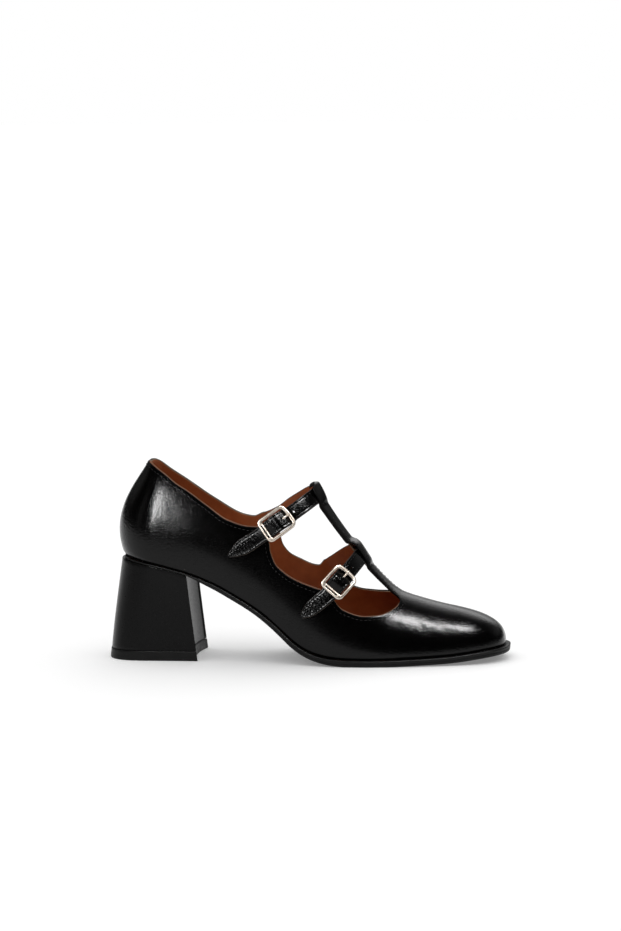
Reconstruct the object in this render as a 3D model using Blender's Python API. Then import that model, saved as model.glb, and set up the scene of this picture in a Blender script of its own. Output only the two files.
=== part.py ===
import bpy
import bmesh
import numpy as np

# Buckle shoe, right foot, women's size 38: T-bar upper, two buckled straps, block heel.
# +X runs to the toe, +Y to the inner side, +Z up. Sizes are in millimetres, MM takes them to metres.
MM = 0.001
CENTRE = np.array([-1.533, -1.683, 0.0])

# Leather thicknesses and the clearance left between pieces
WALL = 1.8
STRAP_WIDTH = 10.0
STRAP_THICK = 2.0
STRAP_EASE = 0.5
TAB_THICK = 0.8
GAP = 0.3

# Plan of the last: round heel, squared toe
HEEL_CENTRE = -94.0
HEEL_REACH = 23.3
TOE_CENTRE = 86.0
TOE_REACH = 35.3
TOE_SQUARE = 2.8
TOE_SQUARE_INNER = 2.4

# T-bar: where it runs into the vamp, and the reach of the passage for each strap
THROAT = 56.6
SPLIT = 0.76
TUNNEL_HALF = 16.0

# Sole edge, insole and heel
SOLE_EASE = 0.65
SOLE_EASE_SHARE = 0.3
SOLE_DRAFT = 0.3
INSOLE_THICK = 2.0
INSOLE_INSET = 2.7
INSOLE_EASE = 0.55
LIFT_HEIGHT = 6.1
LIFT_LEVEL = 0.88
LIFT_STEP = 0.25
BREAST_HOLLOW = 3.4

# Buckle frame with a slotted end bar, centre bar, prong and tab
FRAME_HALF_WIDTH = 7.25
FRAME_CORNER = 2.0
FRAME_BAR = 2.1
FRAME_THICK = 1.7
FRAME_LEVEL = 4.8
FRAME_BOW = 0.8
END_BAR = 2.8
END_SLOT_WIDTH = 0.8
END_SLOT_HALF = 4.4
PIN_RADIUS = 0.75
PIN_LEVEL = 2.2
PIN_TURN = 0.7
PRONG_RADIUS = 0.5
PRONG_PLAY = 0.2
TAB_WIDTH = 8.0
TAB_LENGTH = 14.0
TAB_PLAY = 0.25

# Strap: slot the prong passes through, spare hole, and the gap in the tab for the prong
SLOT_WIDTH = 1.8
SLOT_NEAR = -0.235
SLOT_FAR = -0.79
HOLE_RADIUS = 1.05
HOLE_STEP = 13.0
GATE_HALF = 3.1

# Edges turning more than CRISP stay sharp, points closer than WELD are one
CRISP = np.radians(35)
WELD = 0.0001


class Table:
    # Named sizes along the shoe, read between rows by a natural cubic
    def __init__(self, columns, rows):
        self.rows = np.array(rows, float)
        self.columns = columns.split()
        self.x = self.rows[:, 0]
        self.step = np.diff(self.x)
        self.bend = [self.bends(self.rows[:, c]) for c in range(self.rows.shape[1])]

    def bends(self, y):
        count = len(y)
        matrix = np.eye(count)
        right = np.zeros(count)
        for i in range(1, count - 1):
            a, b = self.step[i - 1], self.step[i]
            matrix[i, i - 1:i + 2] = a, 2 * (a + b), b
            right[i] = 6 * ((y[i + 1] - y[i]) / b - (y[i] - y[i - 1]) / a)
        return np.linalg.solve(matrix, right)

    def read(self, column, x):
        c = self.columns.index(column)
        y, k, h = self.rows[:, c], self.bend[c], self.step
        x = np.asarray(x, float)
        i = np.clip(np.searchsorted(self.x, x) - 1, 0, len(h) - 1)
        inside = np.clip(x, self.x[0], self.x[-1])
        a = (self.x[i + 1] - inside) / h[i]
        b = (inside - self.x[i]) / h[i]
        value = a * y[i] + b * y[i + 1] + ((a ** 3 - a) * k[i] + (b ** 3 - b) * k[i + 1]) * h[i] ** 2 / 6
        first = (y[1] - y[0]) / h[0] - h[0] * (2 * k[0] + k[1]) / 6
        final = (y[-1] - y[-2]) / h[-1] + h[-1] * (2 * k[-1] + k[-2]) / 6
        return value + np.minimum(x - self.x[0], 0) * first + np.maximum(x - self.x[-1], 0) * final


class Edge:
    # A line through rows that never swings past them, for cut edges and strap heights
    def __init__(self, rows):
        rows = np.array(rows, float)
        self.x, self.y = rows[:, 0], rows[:, 1]
        h, d = np.diff(self.x), np.diff(self.y) / np.diff(self.x)
        m = np.concatenate([d[:1], np.zeros(len(d) - 1), d[-1:]])
        for i in range(1, len(d)):
            if d[i - 1] * d[i] > 0:
                a, b = 2 * h[i] + h[i - 1], h[i] + 2 * h[i - 1]
                m[i] = (a + b) / (a / d[i - 1] + b / d[i])
        self.h, self.m = h, m

    def read(self, x):
        x = np.clip(np.asarray(x, float), self.x[0], self.x[-1])
        i = np.clip(np.searchsorted(self.x, x) - 1, 0, len(self.h) - 1)
        h = self.h[i]
        u = (x - self.x[i]) / h
        return ((1 + 2 * u) * (1 - u) ** 2 * self.y[i] + u * (1 - u) ** 2 * h * self.m[i]
                + u * u * (3 - 2 * u) * self.y[i + 1] + u * u * (u - 1) * h * self.m[i + 1])


# Half widths of the upper where it meets the sole
PLAN = Table("x lateral medial", (
    (-94, 25.4, 25.0),
    (-75, 25.8, 24.4),
    (-55, 27.0, 22.6),
    (-35, 29.6, 22.2),
    (-15, 33.6, 25.6),
    (0, 37.0, 29.8),
    (15, 39.6, 33.8),
    (30, 40.6, 36.6),
    (45, 39.8, 37.2),
    (60, 37.6, 35.8),
    (75, 34.6, 33.2),
    (86, 32.2, 31.0)))

# Top of the sole: heel seat, arch, tread and toe spring
SEAT = Table("x height", (
    (-117.5, 63.6), (-98, 60.6), (-85.6, 57.6), (-73, 54.0), (-66, 51.4), (-57, 47.6),
    (-47, 42.2), (-36, 35.8), (-26, 28.9), (-16, 20.6), (-8, 13.6), (0, 8.6), (8, 5.8),
    (18, 4.3), (30, 3.9), (50, 3.9), (70, 4.5), (90, 5.6), (107, 7.5), (121.5, 8.8)))

# Sole edge: thickness, and how far it stands out past the upper
SOLE = Table("x thick ledge", (
    (-126, 1.0, 0.2),
    (-94, 1.0, 0.2),
    (-83, 1.0, 0.2),
    (-75, 1.2, 0.2),
    (-64, 2.5, 0.3),
    (-54, 2.9, 0.4),
    (-30, 2.9, 0.6),
    (-5, 3.3, 1.5),
    (20, 4.0, 2.3),
    (60, 4.0, 2.5),
    (100, 4.2, 2.7),
    (126, 4.2, 2.8)))

# Line along the top of the last, over the instep and down the vamp
RIDGE = Table("x height", (
    (-118, 150), (-94, 148), (-60, 141), (-30, 130), (-10, 118), (3, 104.5), (13, 89.5),
    (23, 75.0), (33, 62.0), (43, 51.0), (51, 44.2), (58, 40.6), (67.6, 37.4), (80, 34.0),
    (95, 30.8), (107.5, 28.5), (122, 25.6)))

# Section handles: the wall stands out by bulge at the height share wall,
# the shoulder lies inward by the share lean at the height share rise
SHAPE = Table("x bulge wall lean rise", (
    (-117.3, 15.2, 0.447, 1.20, 0.68),
    (-94, 5.0, 0.36, 0.26, 0.75),
    (-75, 4.5, 0.36, 0.22, 0.78),
    (-55, 4.0, 0.36, 0.24, 0.80),
    (-35, 3.5, 0.36, 0.28, 0.82),
    (-15, 3.0, 0.36, 0.30, 0.86),
    (0, 2.5, 0.36, 0.33, 0.90),
    (15, 2.0, 0.36, 0.36, 0.94),
    (35, 1.5, 0.38, 0.40, 0.98),
    (60, 1.2, 0.42, 0.40, 1.0),
    (86, 1.2, 0.48, 0.36, 1.0),
    (121.3, 0.3, 0.74, 0.22, 1.0)))

# T-bar: half width, how far its face stands over the last, and its depth under it
BAR = Table("x half raise depth", (
    (-4, 8.5, 1.7, 1.0),
    (16, 8.4, 1.7, 1.0),
    (36, 8.4, 1.7, 1.0),
    (43, 8.8, 1.4, 1.1),
    (49, 10.0, 1.0, 1.4),
    (53, 11.4, 0.5, 1.7),
    (55.4, 12.8, 0.2, 1.8),
    (56.6, 15.2, 0.0, 1.8)))

LATERAL, MEDIAL = -1, 1


def half_width(side, x):
    return PLAN.read("lateral" if side == LATERAL else "medial", x)


def width_slope(side, x):
    return half_width(side, x + 0.5) - half_width(side, x - 0.5)


def outline(side, s, grow=0.0):
    # Plan of the last: s runs 0..1 round the heel, 1..2 along the side, 2..3 round the toe
    s = np.asarray(s, float)
    heel = np.clip(s, 0, 1) * np.pi / 2
    toe = np.clip(3 - s, 0, 1) * np.pi / 2
    along = HEEL_CENTRE + (TOE_CENTRE - HEEL_CENTRE) * np.clip(s - 1, 0, 1)
    power = 2 / (TOE_SQUARE if side == LATERAL else TOE_SQUARE_INNER)
    heel_x = HEEL_CENTRE - (HEEL_REACH + grow) * np.cos(heel)
    heel_y = (half_width(side, HEEL_CENTRE) + grow) * np.sin(heel)
    toe_x = TOE_CENTRE + (TOE_REACH + grow) * np.maximum(np.cos(toe), 0) ** power
    taper = width_slope(side, TOE_CENTRE) * (toe_x - TOE_CENTRE)
    toe_y = (half_width(side, TOE_CENTRE) + grow + taper) * np.maximum(np.sin(toe), 0) ** power
    x = np.where(s < 1, heel_x, np.where(s > 2, toe_x, along))
    y = np.where(s < 1, heel_y, np.where(s > 2, toe_y, half_width(side, along) + grow))
    return x, side * y


def station(x):
    return 1 + (x - HEEL_CENTRE) / (TOE_CENTRE - HEEL_CENTRE)


def last(side, s, t):
    # Outer face of the upper: t runs from the sole at 0 to the ridge at 1
    s, t = np.broadcast_arrays(np.asarray(s, float), np.asarray(t, float))
    x0, y0 = outline(side, s)
    dx = np.clip(x0, HEEL_CENTRE, TOE_CENTRE) - x0
    reach = np.hypot(dx, y0)
    first, second, third = 3 * (1 - t) ** 2 * t, 3 * (1 - t) * t ** 2, t ** 3
    inward = (second * SHAPE.read("lean", x0) + third) * reach - first * SHAPE.read("bulge", x0)
    share = first * SHAPE.read("wall", x0) + second * SHAPE.read("rise", x0) + third
    x = x0 + dx / reach * inward
    y = y0 - y0 / reach * inward
    base = SEAT.read("height", x0) + GAP
    return np.stack([x, y, base + share * (RIDGE.read("height", x) - base)], -1)


def unit(v):
    return v / np.maximum(np.linalg.norm(v, axis=-1, keepdims=True), 1e-9)


def facing(side, s, t):
    # Outward direction of the last at s, t
    s, t = np.broadcast_arrays(np.asarray(s, float), np.asarray(t, float))
    d = 0.004
    top = np.minimum(t, 0.985)
    low, high = np.clip(s - d, 0, 3), np.clip(s + d, 0, 3)
    along = last(side, high, top) - last(side, low, top)
    up = last(side, s, np.minimum(top + d, 1)) - last(side, s, np.maximum(top - d, 0))
    n = unit(np.cross(along, up)) * -side
    x = last(side, s, t)[..., 0]
    slope = (RIDGE.read("height", x + 0.1) - RIDGE.read("height", x - 0.1)) / 0.2
    crest = unit(np.stack([-slope, 0 * slope, 1 + 0 * slope], -1))
    blend = np.clip((t - 0.9) / 0.1, 0, 1)[..., None]
    return unit(n * (1 - blend) + crest * blend)


def share_at_height(side, s, height):
    # Share t at which the section s crosses a cut edge given as a height along x
    t = np.linspace(0.02, 0.97, 600)
    p = last(side, s, t)
    over = p[:, 2] - height(p[:, 0])
    i = int(np.argmax(over > 0))
    return t[i - 1] + (t[i] - t[i - 1]) * over[i - 1] / (over[i - 1] - over[i])


def share_at_width(side, s, half):
    t = np.linspace(0.5, 1, 400)
    return np.interp(-half, -np.abs(last(side, s, t)[:, 1]), t)


class Strap:
    # Frame of a strap: q runs over the last from the ridge, + to the outer side;
    # b across the strap, o off the last
    def __init__(self, crossing, lateral, medial, low_lateral, low_medial, pin, reach, sizes, cover):
        halves = []
        for side, rows, low in ((MEDIAL, medial, low_medial), (LATERAL, lateral, low_lateral)):
            rows = np.array(sorted((crossing,) + rows, key=lambda row: row[1]), float)
            t = np.linspace(1, low, 160)
            x = np.full_like(t, crossing[0])
            for _ in range(60):
                x = (x + np.interp(last(side, station(x), t)[:, 2], rows[:, 1], rows[:, 0])) / 2
            halves.append((last(side, station(x), t), facing(side, station(x), t)))
        self.line = np.concatenate([halves[0][0][::-1], halves[1][0][1:]])
        self.out = np.concatenate([halves[0][1][::-1], halves[1][1][1:]])
        run = np.concatenate([[0], np.cumsum(np.linalg.norm(np.diff(self.line, axis=0), axis=1))])
        self.run = run - run[len(halves[0][0]) - 1]
        self.pin, self.reach = pin, reach
        self.sizes = {name: Edge([(row[0], row[c]) for row in sizes])
                      for c, name in ((1, "width"), (2, "lift"), (3, "shift"))}
        self.start, self.tip = sizes[0][0], sizes[-1][0]
        self.cover = Edge(cover)

    def at(self, curve, q):
        return np.stack([np.interp(q, self.run, curve[:, c]) for c in range(3)], -1)

    def lay(self, q, b, o):
        q, b, o = np.broadcast_arrays(*(np.asarray(v, float) for v in (q, b, o)))
        reach = 2.0
        along = unit(self.at(self.line, q + reach) - self.at(self.line, q - reach))
        out = self.at(self.out, q - reach) + self.at(self.out, q) + self.at(self.out, q + reach)
        out = unit(out - along * np.sum(out * along, axis=-1, keepdims=True))
        across = np.cross(along, out)
        return self.at(self.line, q) + across * b[..., None] + out * o[..., None]


# Straps: each rises over its buckle's centre bar at the pin and passes under both ends of the frame,
# REACH away on either side. Rows: q, width, lift of the inner face off the last, shift of the middle
# line up the shoe. Cover rows: place along the T-bar from the crossing, height of the bar's face there
INSTEP_PIN = 40.4
INSTEP_REACH = 8.2
VAMP_PIN = 37.6
VAMP_REACH = 6.9
WEAVE_RISE = 4.6
WEAVE_WIDTH = 11.3
WEAVE_FADE = 3.6
WEAVE_END = 15.0
INSTEP = Strap(
    (4.6, 102.2), ((-18.45, 85.75), (-47.8, 65.95), (-59.3, 58.3)),
    ((-12.9, 92.3), (-27.0, 82.6), (-36.0, 76.0)),
    0.14, 0.40, INSTEP_PIN, INSTEP_REACH, (
        (-44.5, 14.0, -1.9, 0.2),
        (-40, 10.0, -1.7, 1.2),
        (-33, 7.9, -1.2, 1.6),
        (-22, 8.2, -0.3, 2.1),
        (-12, 9.0, GAP, 2.0),
        (-6, 9.4, GAP, 1.6),
        (6, STRAP_WIDTH, GAP, 0),
        (24, STRAP_WIDTH, 0.8, 0),
        (INSTEP_PIN - INSTEP_REACH - WEAVE_FADE, STRAP_WIDTH, 1.2, 0),
        (INSTEP_PIN - INSTEP_REACH, WEAVE_WIDTH, 1.5, 0),
        (INSTEP_PIN, WEAVE_WIDTH, WEAVE_RISE, 0),
        (INSTEP_PIN + INSTEP_REACH, WEAVE_WIDTH, 1.6, 0),
        (INSTEP_PIN + INSTEP_REACH + WEAVE_FADE, STRAP_WIDTH, 1.6, 0),
        (INSTEP_PIN + WEAVE_END, STRAP_WIDTH, 1.5, 0),
        (62, 10.4, 0.9, 0.3),
        (65, 10.2, 0.7, 0.5),
        (68, 8.8, 0.6, 0.65),
        (71, 6.5, 0.6, 0.7),
        (73.5, 4.2, 0.6, 0.8),
        (75.6, 2.2, 0.6, 0.95)),
    ((-9.5, 3.2), (-6, 4.1), (-2.5, 4.7), (2.5, 3.9), (5.6, 3.2), (7.4, 2.3), (9.0, 1.7)))
VAMP = Strap(
    (31.4, 64.0), ((13.2, 43.1), (-1.7, 30.4), (-11.3, 22.2)), ((12.4, 50.4), (0.0, 42.0)),
    0.12, 0.34, VAMP_PIN, VAMP_REACH, (
        (-39.5, 16.0, -1.9, 1.6),
        (-35, 14.6, -1.7, 2.1),
        (-29, 14.2, -1.2, 2.1),
        (-20, 13.8, -0.3, 1.9),
        (-10, 12.8, GAP, 1.4),
        (0, 11.4, GAP, 0.7),
        (8, STRAP_WIDTH, GAP, 0),
        (21, STRAP_WIDTH, 0.8, 0),
        (VAMP_PIN - VAMP_REACH - WEAVE_FADE, STRAP_WIDTH, 1.2, 0),
        (VAMP_PIN - VAMP_REACH, WEAVE_WIDTH, 1.5, 0),
        (VAMP_PIN, WEAVE_WIDTH, WEAVE_RISE, 0),
        (VAMP_PIN + VAMP_REACH, WEAVE_WIDTH, 1.6, 0),
        (VAMP_PIN + VAMP_REACH + WEAVE_FADE, STRAP_WIDTH, 1.6, 0.1),
        (VAMP_PIN + WEAVE_END, STRAP_WIDTH, 1.5, 0.2),
        (56, 9.8, 1.1, 0.3),
        (59, 9.4, 0.9, 0.4),
        (61.5, 8.3, 0.8, 0.3),
        (64, 6.6, 0.7, 0.3),
        (66, 4.6, 0.7, 0.4),
        (67.8, 2.6, 0.7, 0.5)),
    ((-13, 1.7), (-10.8, 2.9), (-8.4, 4.2), (-6, 4.6), (-2, 4.3),
     (2.9, 3.7), (5.6, 3.3), (7.6, 2.6), (9.2, 1.7)))


def wing(strap):
    # Edge of the inner quarter where a strap's root is sewn edge to edge
    half = float(strap.sizes["width"].read(strap.start)) / 2
    shift = float(strap.sizes["shift"].read(strap.start))
    edge = strap.lay(strap.start - GAP, shift + np.linspace(half, -half, 5), 0.0)
    return [(point[0], point[2]) for point in edge]


# Cut edges of the two quarters, as heights along x
BACK = [(-102, 123.6), (-100, 123.2), (-98, 122.2)]
LATERAL_RIM = Edge(
    BACK + [(-88.6, 116.1), (-82.1, 110.9), (-74.9, 106.4), (-62, 97.1), (-49.4, 88.5), (-36.4, 84.7),
            (-30, 84.4), (-27, 83.6), (-23.3, 74.5), (-22.9, 70.5), (-15.5, 58.0), (5.7, 47.7), (12, 45.8),
            (23, 34.4), (37, 30.4), (43.9, 30.6), (55, 34.8), (56.6, 36.6)])
MEDIAL_RIM = Edge(
    BACK + [(-90.4, 116.2), (-80.7, 109.5), (-61.6, 96.4), (-43.6, 86.9), (-38, 86.0)]
    + wing(INSTEP)
    + [(-20.6, 68.4), (-19.2, 65.6), (-15.9, 61.7), (-9.8, 58.2), (-0.4, 54.1), (2, 53.8)]
    + wing(VAMP)
    + [(21, 41.2), (31.6, 38.3), (39.2, 38.1), (50, 38.9), (56.6, 38.2)])

# Columns of the wall: the edges need them close where they turn
WALL_ROWS = 7
TOP_ROWS = 3
HEEL_FAN = np.linspace(0, 1, 8)
TOE_FAN = 2 + np.linspace(0, 1, 11)[1:]
LATERAL_COLUMNS = (-84, -74, -64, -55, -46, -38, -31, -27.5, -25.2, -24.1, -23.4, -22.9, -22, -20.5, -18,
                   -14, -9, -3, 3, 8, 12, 15, 18, 20.5, 24, 30, 37, 44, 49, 52.5, 54.7, 56)
MEDIAL_COLUMNS = (-84, -74, -64, -55, -46, -38, -19.2, -16, -11, -5, 0, 3, 21, 25, 31, 38, 44, 49, 52.5,
                  54.7, 56)
BAR_COLUMNS = (-0.4, 0.4, 1.4, 2.6, 3.8, 5, 6.2, 7.4, 8.4, 9.4, 11.5, 15, 19, 22, 23.2, 24.2, 25.4, 26.6,
               27.8, 29.4, 31.4, 33.2, 34.8, 36, 37, 38, 40, 44, 47.5, 50.5, 53, 55, 56.2)
VAMP_COLUMNS = (56.6, 61, 67, 73, 80)


class Skin:
    # One open face of leather with its inner face; solid() closes all its free edges
    def __init__(self):
        self.points, self.inner, self.index, self.faces = [], [], {}, []

    def add(self, point, inner):
        key = tuple(np.round(point, 2))
        if key not in self.index:
            self.index[key] = len(self.points)
            self.points.append(point)
            self.inner.append(inner)
        return self.index[key]

    def grid(self, outer, inner):
        ids = [[self.add(p, q) for p, q in zip(*pair)] for pair in zip(outer, inner)]
        for a, b in zip(ids[:-1], ids[1:]):
            for i in range(len(a) - 1):
                corners = list(dict.fromkeys((a[i], a[i + 1], b[i + 1], b[i])))
                if len(corners) > 2:
                    self.faces.append(corners)

    def solid(self):
        count = len(self.points)
        faces = list(self.faces) + [[i + count for i in reversed(face)] for face in self.faces]
        seen = {}
        for face in self.faces:
            for a, b in zip(face, face[1:] + face[:1]):
                seen.setdefault((min(a, b), max(a, b)), []).append((a, b))
        for uses in seen.values():
            if len(uses) == 1:
                a, b = uses[0]
                faces.append([b, a, a + count, b + count])
        return self.points + self.inner, faces


def ridge_run(x):
    # Length along the ridge from its top end
    line = np.linspace(-10, 90, 800)
    steps = np.hypot(np.diff(line), np.diff(RIDGE.read("height", line)))
    return np.interp(x, line, np.concatenate([[0], np.cumsum(steps)]))


def bar_raise(points):
    # Height of the T-bar's face off the last, rising over each strap
    x = points[..., 0]
    slope = (RIDGE.read("height", x + 0.1) - RIDGE.read("height", x - 0.1)) / 0.2
    fall = RIDGE.read("height", x) - points[..., 2]
    run = ridge_run(x) - fall * slope / np.hypot(1, slope)
    base = BAR.read("raise", np.minimum(x, THROAT))
    for strap in (INSTEP, VAMP):
        place = run - ridge_run(strap.at(strap.line, np.array(0.0))[0])
        over = (place > strap.cover.x[0]) & (place < strap.cover.x[-1])
        base = np.where(over, np.maximum(base, strap.cover.read(place)), base)
    return base


def upper_skin():
    skin = Skin()
    seams = tuple(x for strap in (INSTEP, VAMP) for x, z in wing(strap))
    sides = ((LATERAL, LATERAL_RIM, LATERAL_COLUMNS), (MEDIAL, MEDIAL_RIM, sorted(MEDIAL_COLUMNS + seams)))
    for side, rim, columns in sides:
        cut = np.concatenate([HEEL_FAN, station(np.array(columns))])
        whole = np.concatenate([station(np.array(VAMP_COLUMNS)), [2.0], TOE_FAN])
        tops = [share_at_height(side, s, rim.read) for s in cut] + [SPLIT] * len(whole)
        stations = np.concatenate([cut, whole])
        rows = np.linspace(0, 1, WALL_ROWS + 1)
        t = np.array(tops)[:, None] * rows[None]
        s = stations[:, None] + 0 * t
        outer = last(side, s, t)
        inner = outer - facing(side, s, t) * WALL
        inner[:, 0, 2] = SEAT.read("height", inner[:, 0, 0]) + GAP
        skin.grid(outer, inner)

        bar = station(np.array(BAR_COLUMNS))
        edges = [share_at_width(side, s, BAR.read("half", x)) for s, x in zip(bar, BAR_COLUMNS)]
        t = np.array(edges + [SPLIT] * len(whole))[:, None]
        t = t + (1 - t) * np.linspace(0, 1, TOP_ROWS + 1)[None]
        s = np.concatenate([bar, whole])[:, None] + 0 * t
        face = last(side, s, t)
        n = facing(side, s, t)
        free = (np.arange(len(s)) < len(bar))[:, None, None]
        x = np.minimum(face[..., 0], THROAT)
        outer = face + np.where(free, n * bar_raise(face)[..., None], 0)
        inner = face - n * np.where(free, BAR.read("depth", x)[..., None], WALL)
        skin.grid(outer, inner)
    return skin.solid()


def rings_solid(rings):
    # Solid between closed rings of equal count, the first and last filled straight across
    count = len(rings[0])
    faces = []
    for r in range(len(rings) - 1):
        for i in range(count):
            j = (i + 1) % count
            faces.append([r * count + i, r * count + j, (r + 1) * count + j, (r + 1) * count + i])
    for start in (0, (len(rings) - 1) * count):
        for i in range(count // 2):
            far, near = (count - i) % count, count - i - 1
            cap = list(dict.fromkeys((start + i, start + i + 1, start + near, start + far)))
            if len(cap) > 2:
                faces.append(cap)
    return np.concatenate(rings), faces


SOLE_COLUMNS = np.array((-84, -78, -74.5, -71, -67, -62, -56, -48, -39, -31, -24, -18, -13, -8, -3, 2, 7,
                         12, 18, 26, 36, 48, 60, 70, 79))
SOLE_STATIONS = np.concatenate([np.linspace(0, 1, 7), station(SOLE_COLUMNS), [2.0], TOE_FAN[1::2], [3.0]])
SOLE_STATIONS = np.unique(np.round(SOLE_STATIONS, 6))


def closed_outline(grow):
    # Outline from the heel along the outer side to the toe and back along the inner side
    reach = grow(outline(LATERAL, SOLE_STATIONS)[0])
    outer = np.stack(outline(LATERAL, SOLE_STATIONS, reach), -1)
    inner = np.stack(outline(MEDIAL, SOLE_STATIONS, reach), -1)
    return np.concatenate([outer, inner[-2:0:-1]])


def steepness(x):
    return np.hypot(1, SEAT.read("height", x + 0.5) - SEAT.read("height", x - 0.5))


def sole_top(x):
    return SEAT.read("height", x)


def sole_bottom(x):
    return np.maximum(SEAT.read("height", x) - SOLE.read("thick", x) * steepness(x), 0)


def ring(grow, height):
    plan = closed_outline(grow)
    return np.column_stack([plan, height(plan[:, 0])])


def outsole():
    ledge = lambda x: SOLE.read("ledge", x)
    ease = lambda x: np.minimum(SOLE_EASE, SOLE_EASE_SHARE * SOLE.read("thick", x))
    return rings_solid([
        ring(lambda x: ledge(x) - ease(x), sole_top),
        ring(ledge, lambda x: sole_top(x) - ease(x)),
        ring(lambda x: ledge(x) - SOLE_DRAFT, lambda x: sole_bottom(x) + ease(x)),
        ring(lambda x: ledge(x) - SOLE_DRAFT - ease(x), sole_bottom)])


def insole():
    base = lambda x: sole_top(x) + GAP
    inset = lambda x: -INSOLE_INSET + 0 * x
    return rings_solid([
        ring(inset, base),
        ring(inset, lambda x: base(x) + INSOLE_THICK - INSOLE_EASE),
        ring(lambda x: inset(x) - INSOLE_EASE, lambda x: base(x) + INSOLE_THICK)])


# Heel: sizes from its seat at 0 to the floor at 1
HEEL = Table("level front centre reach side front_side square", (
    (0.0, -75.4, -94.0, 25.0, 25.2, 25.6, 2.05),
    (0.35, -73.4, -96.5, 25.6, 24.6, 25.0, 2.3),
    (0.7, -71.2, -99.0, 26.0, 24.4, 24.6, 2.5),
    (1.0, -69.4, -101.0, 25.9, 24.3, 24.6, 2.7)))
HEEL_SIDE_STEPS = 4
HEEL_FAN_STEPS = 9
BREAST_STEPS = 8


def heel_plan(level, grow=0.0):
    size = {name: float(HEEL.read(name, level)) for name in HEEL.columns}
    u = np.linspace(0, 1, HEEL_SIDE_STEPS, endpoint=False)
    side_x = size["front"] + grow + (size["centre"] - size["front"] - grow) * u
    side_y = size["front_side"] + grow + (size["side"] - size["front_side"]) * u
    angle = np.linspace(np.pi / 2, -np.pi / 2, 2 * HEEL_FAN_STEPS + 1)
    power = 2 / size["square"]
    fan_x = size["centre"] - (size["reach"] + grow) * np.maximum(np.cos(angle), 0) ** power
    fan_y = np.sign(np.sin(angle)) * (size["side"] + grow) * np.abs(np.sin(angle)) ** power
    back = np.column_stack([np.concatenate([side_x, fan_x, side_x[::-1]]),
                            np.concatenate([-side_y, -fan_y, side_y[::-1]])])
    across = np.linspace(1, -1, BREAST_STEPS + 1)[1:-1]
    hollow = BREAST_HOLLOW * (1 - across ** 2)
    breast = np.column_stack([size["front"] + grow - hollow, across * (size["front_side"] + grow)])
    return np.concatenate([back, breast])


def heel_solid(levels, height):
    rings = []
    for level, grow in levels:
        plan = heel_plan(level, grow)
        rings.append(np.column_stack([plan, height(level, heel_plan(0.0)[:, 0])]))
    count = len(rings[0])
    faces = []
    for r in range(len(rings) - 1):
        for i in range(count):
            j = (i + 1) % count
            faces.append([r * count + i, r * count + j, (r + 1) * count + j, (r + 1) * count + i])
    faces.append(list(range(count)))
    faces.append([(len(rings) - 1) * count + i for i in reversed(range(count))])
    return np.concatenate(rings), faces


def heel_block():
    def height(level, seat_x):
        top = sole_bottom(seat_x) - GAP * steepness(seat_x)
        foot = LIFT_HEIGHT + GAP
        return top + (foot - top) * level / LIFT_LEVEL

    return heel_solid([(level, 0.0) for level in (0.0, 0.35, 0.7, LIFT_LEVEL)], height)


def heel_top_lift():
    def height(level, seat_x):
        return LIFT_HEIGHT * (1 - level) / (1 - LIFT_LEVEL) + 0 * seat_x

    return heel_solid([(LIFT_LEVEL, LIFT_STEP), (1.0, LIFT_STEP)], height)


def ribbon(strap, q, width, low, high, shift=0.0, ease=STRAP_EASE):
    # Flat strip along a strap's line with its outer edges eased off
    half = width / 2
    corners = (
        (-half, low), (half, low), (half, high - ease), (half - ease * np.minimum(1, half), high),
        (-half + ease * np.minimum(1, half), high), (-half, high - ease))
    loops = np.stack([strap.lay(q, b + shift, o) for b, o in corners], 1)
    return tube_solid(loops)


def tube_solid(loops):
    # Solid skinned over open-ended loops, each end closed by one face
    count = loops.shape[1]
    faces = []
    for r in range(len(loops) - 1):
        for i in range(count):
            j = (i + 1) % count
            faces.append([r * count + i, r * count + j, (r + 1) * count + j, (r + 1) * count + i])
    faces.append(list(range(count)))
    faces.append([(len(loops) - 1) * count + i for i in reversed(range(count))])
    return loops.reshape(-1, 3), faces


def strap_stations(strap):
    pin, half = strap.pin, 15.0
    root = np.linspace(strap.start, -half, 7)[:-1]
    cross = np.linspace(-half, half, 11)
    rise = np.linspace(half, pin - strap.reach, 5)[1:-1]
    weave = pin + np.linspace(-strap.reach, strap.reach, 11)
    fall = pin + np.linspace(strap.reach, WEAVE_END, 3)[1:]
    end = np.linspace(pin + WEAVE_END, strap.tip, 10)[1:]
    return np.concatenate([root, cross, rise, weave, fall, end])


def strap_solid(strap):
    q = strap_stations(strap)
    width, low, shift = (strap.sizes[name].read(q) for name in ("width", "lift", "shift"))
    return ribbon(strap, q, width, low, low + STRAP_THICK, shift)


def tunnel(strap):
    q = np.linspace(-TUNNEL_HALF, TUNNEL_HALF, 13)
    width, shift = (strap.sizes[name].read(q) for name in ("width", "shift"))
    return ribbon(strap, q, width + 2 * GAP, 0 * q, 0 * q + STRAP_THICK + 2 * GAP, shift, GAP)


def block(strap, q, half, low, high):
    corners = [(-half, low), (half, low), (half, high), (-half, high)]
    return tube_solid(np.stack([strap.lay(np.array(q), b, o) for b, o in corners], 1))


def post(strap, q, radius, low, high, sides=10):
    angle = np.arange(sides) * 2 * np.pi / sides
    return tube_solid(np.stack([strap.lay(q + radius * np.cos(angle), radius * np.sin(angle), o)
                                for o in (low, high)]))


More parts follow.
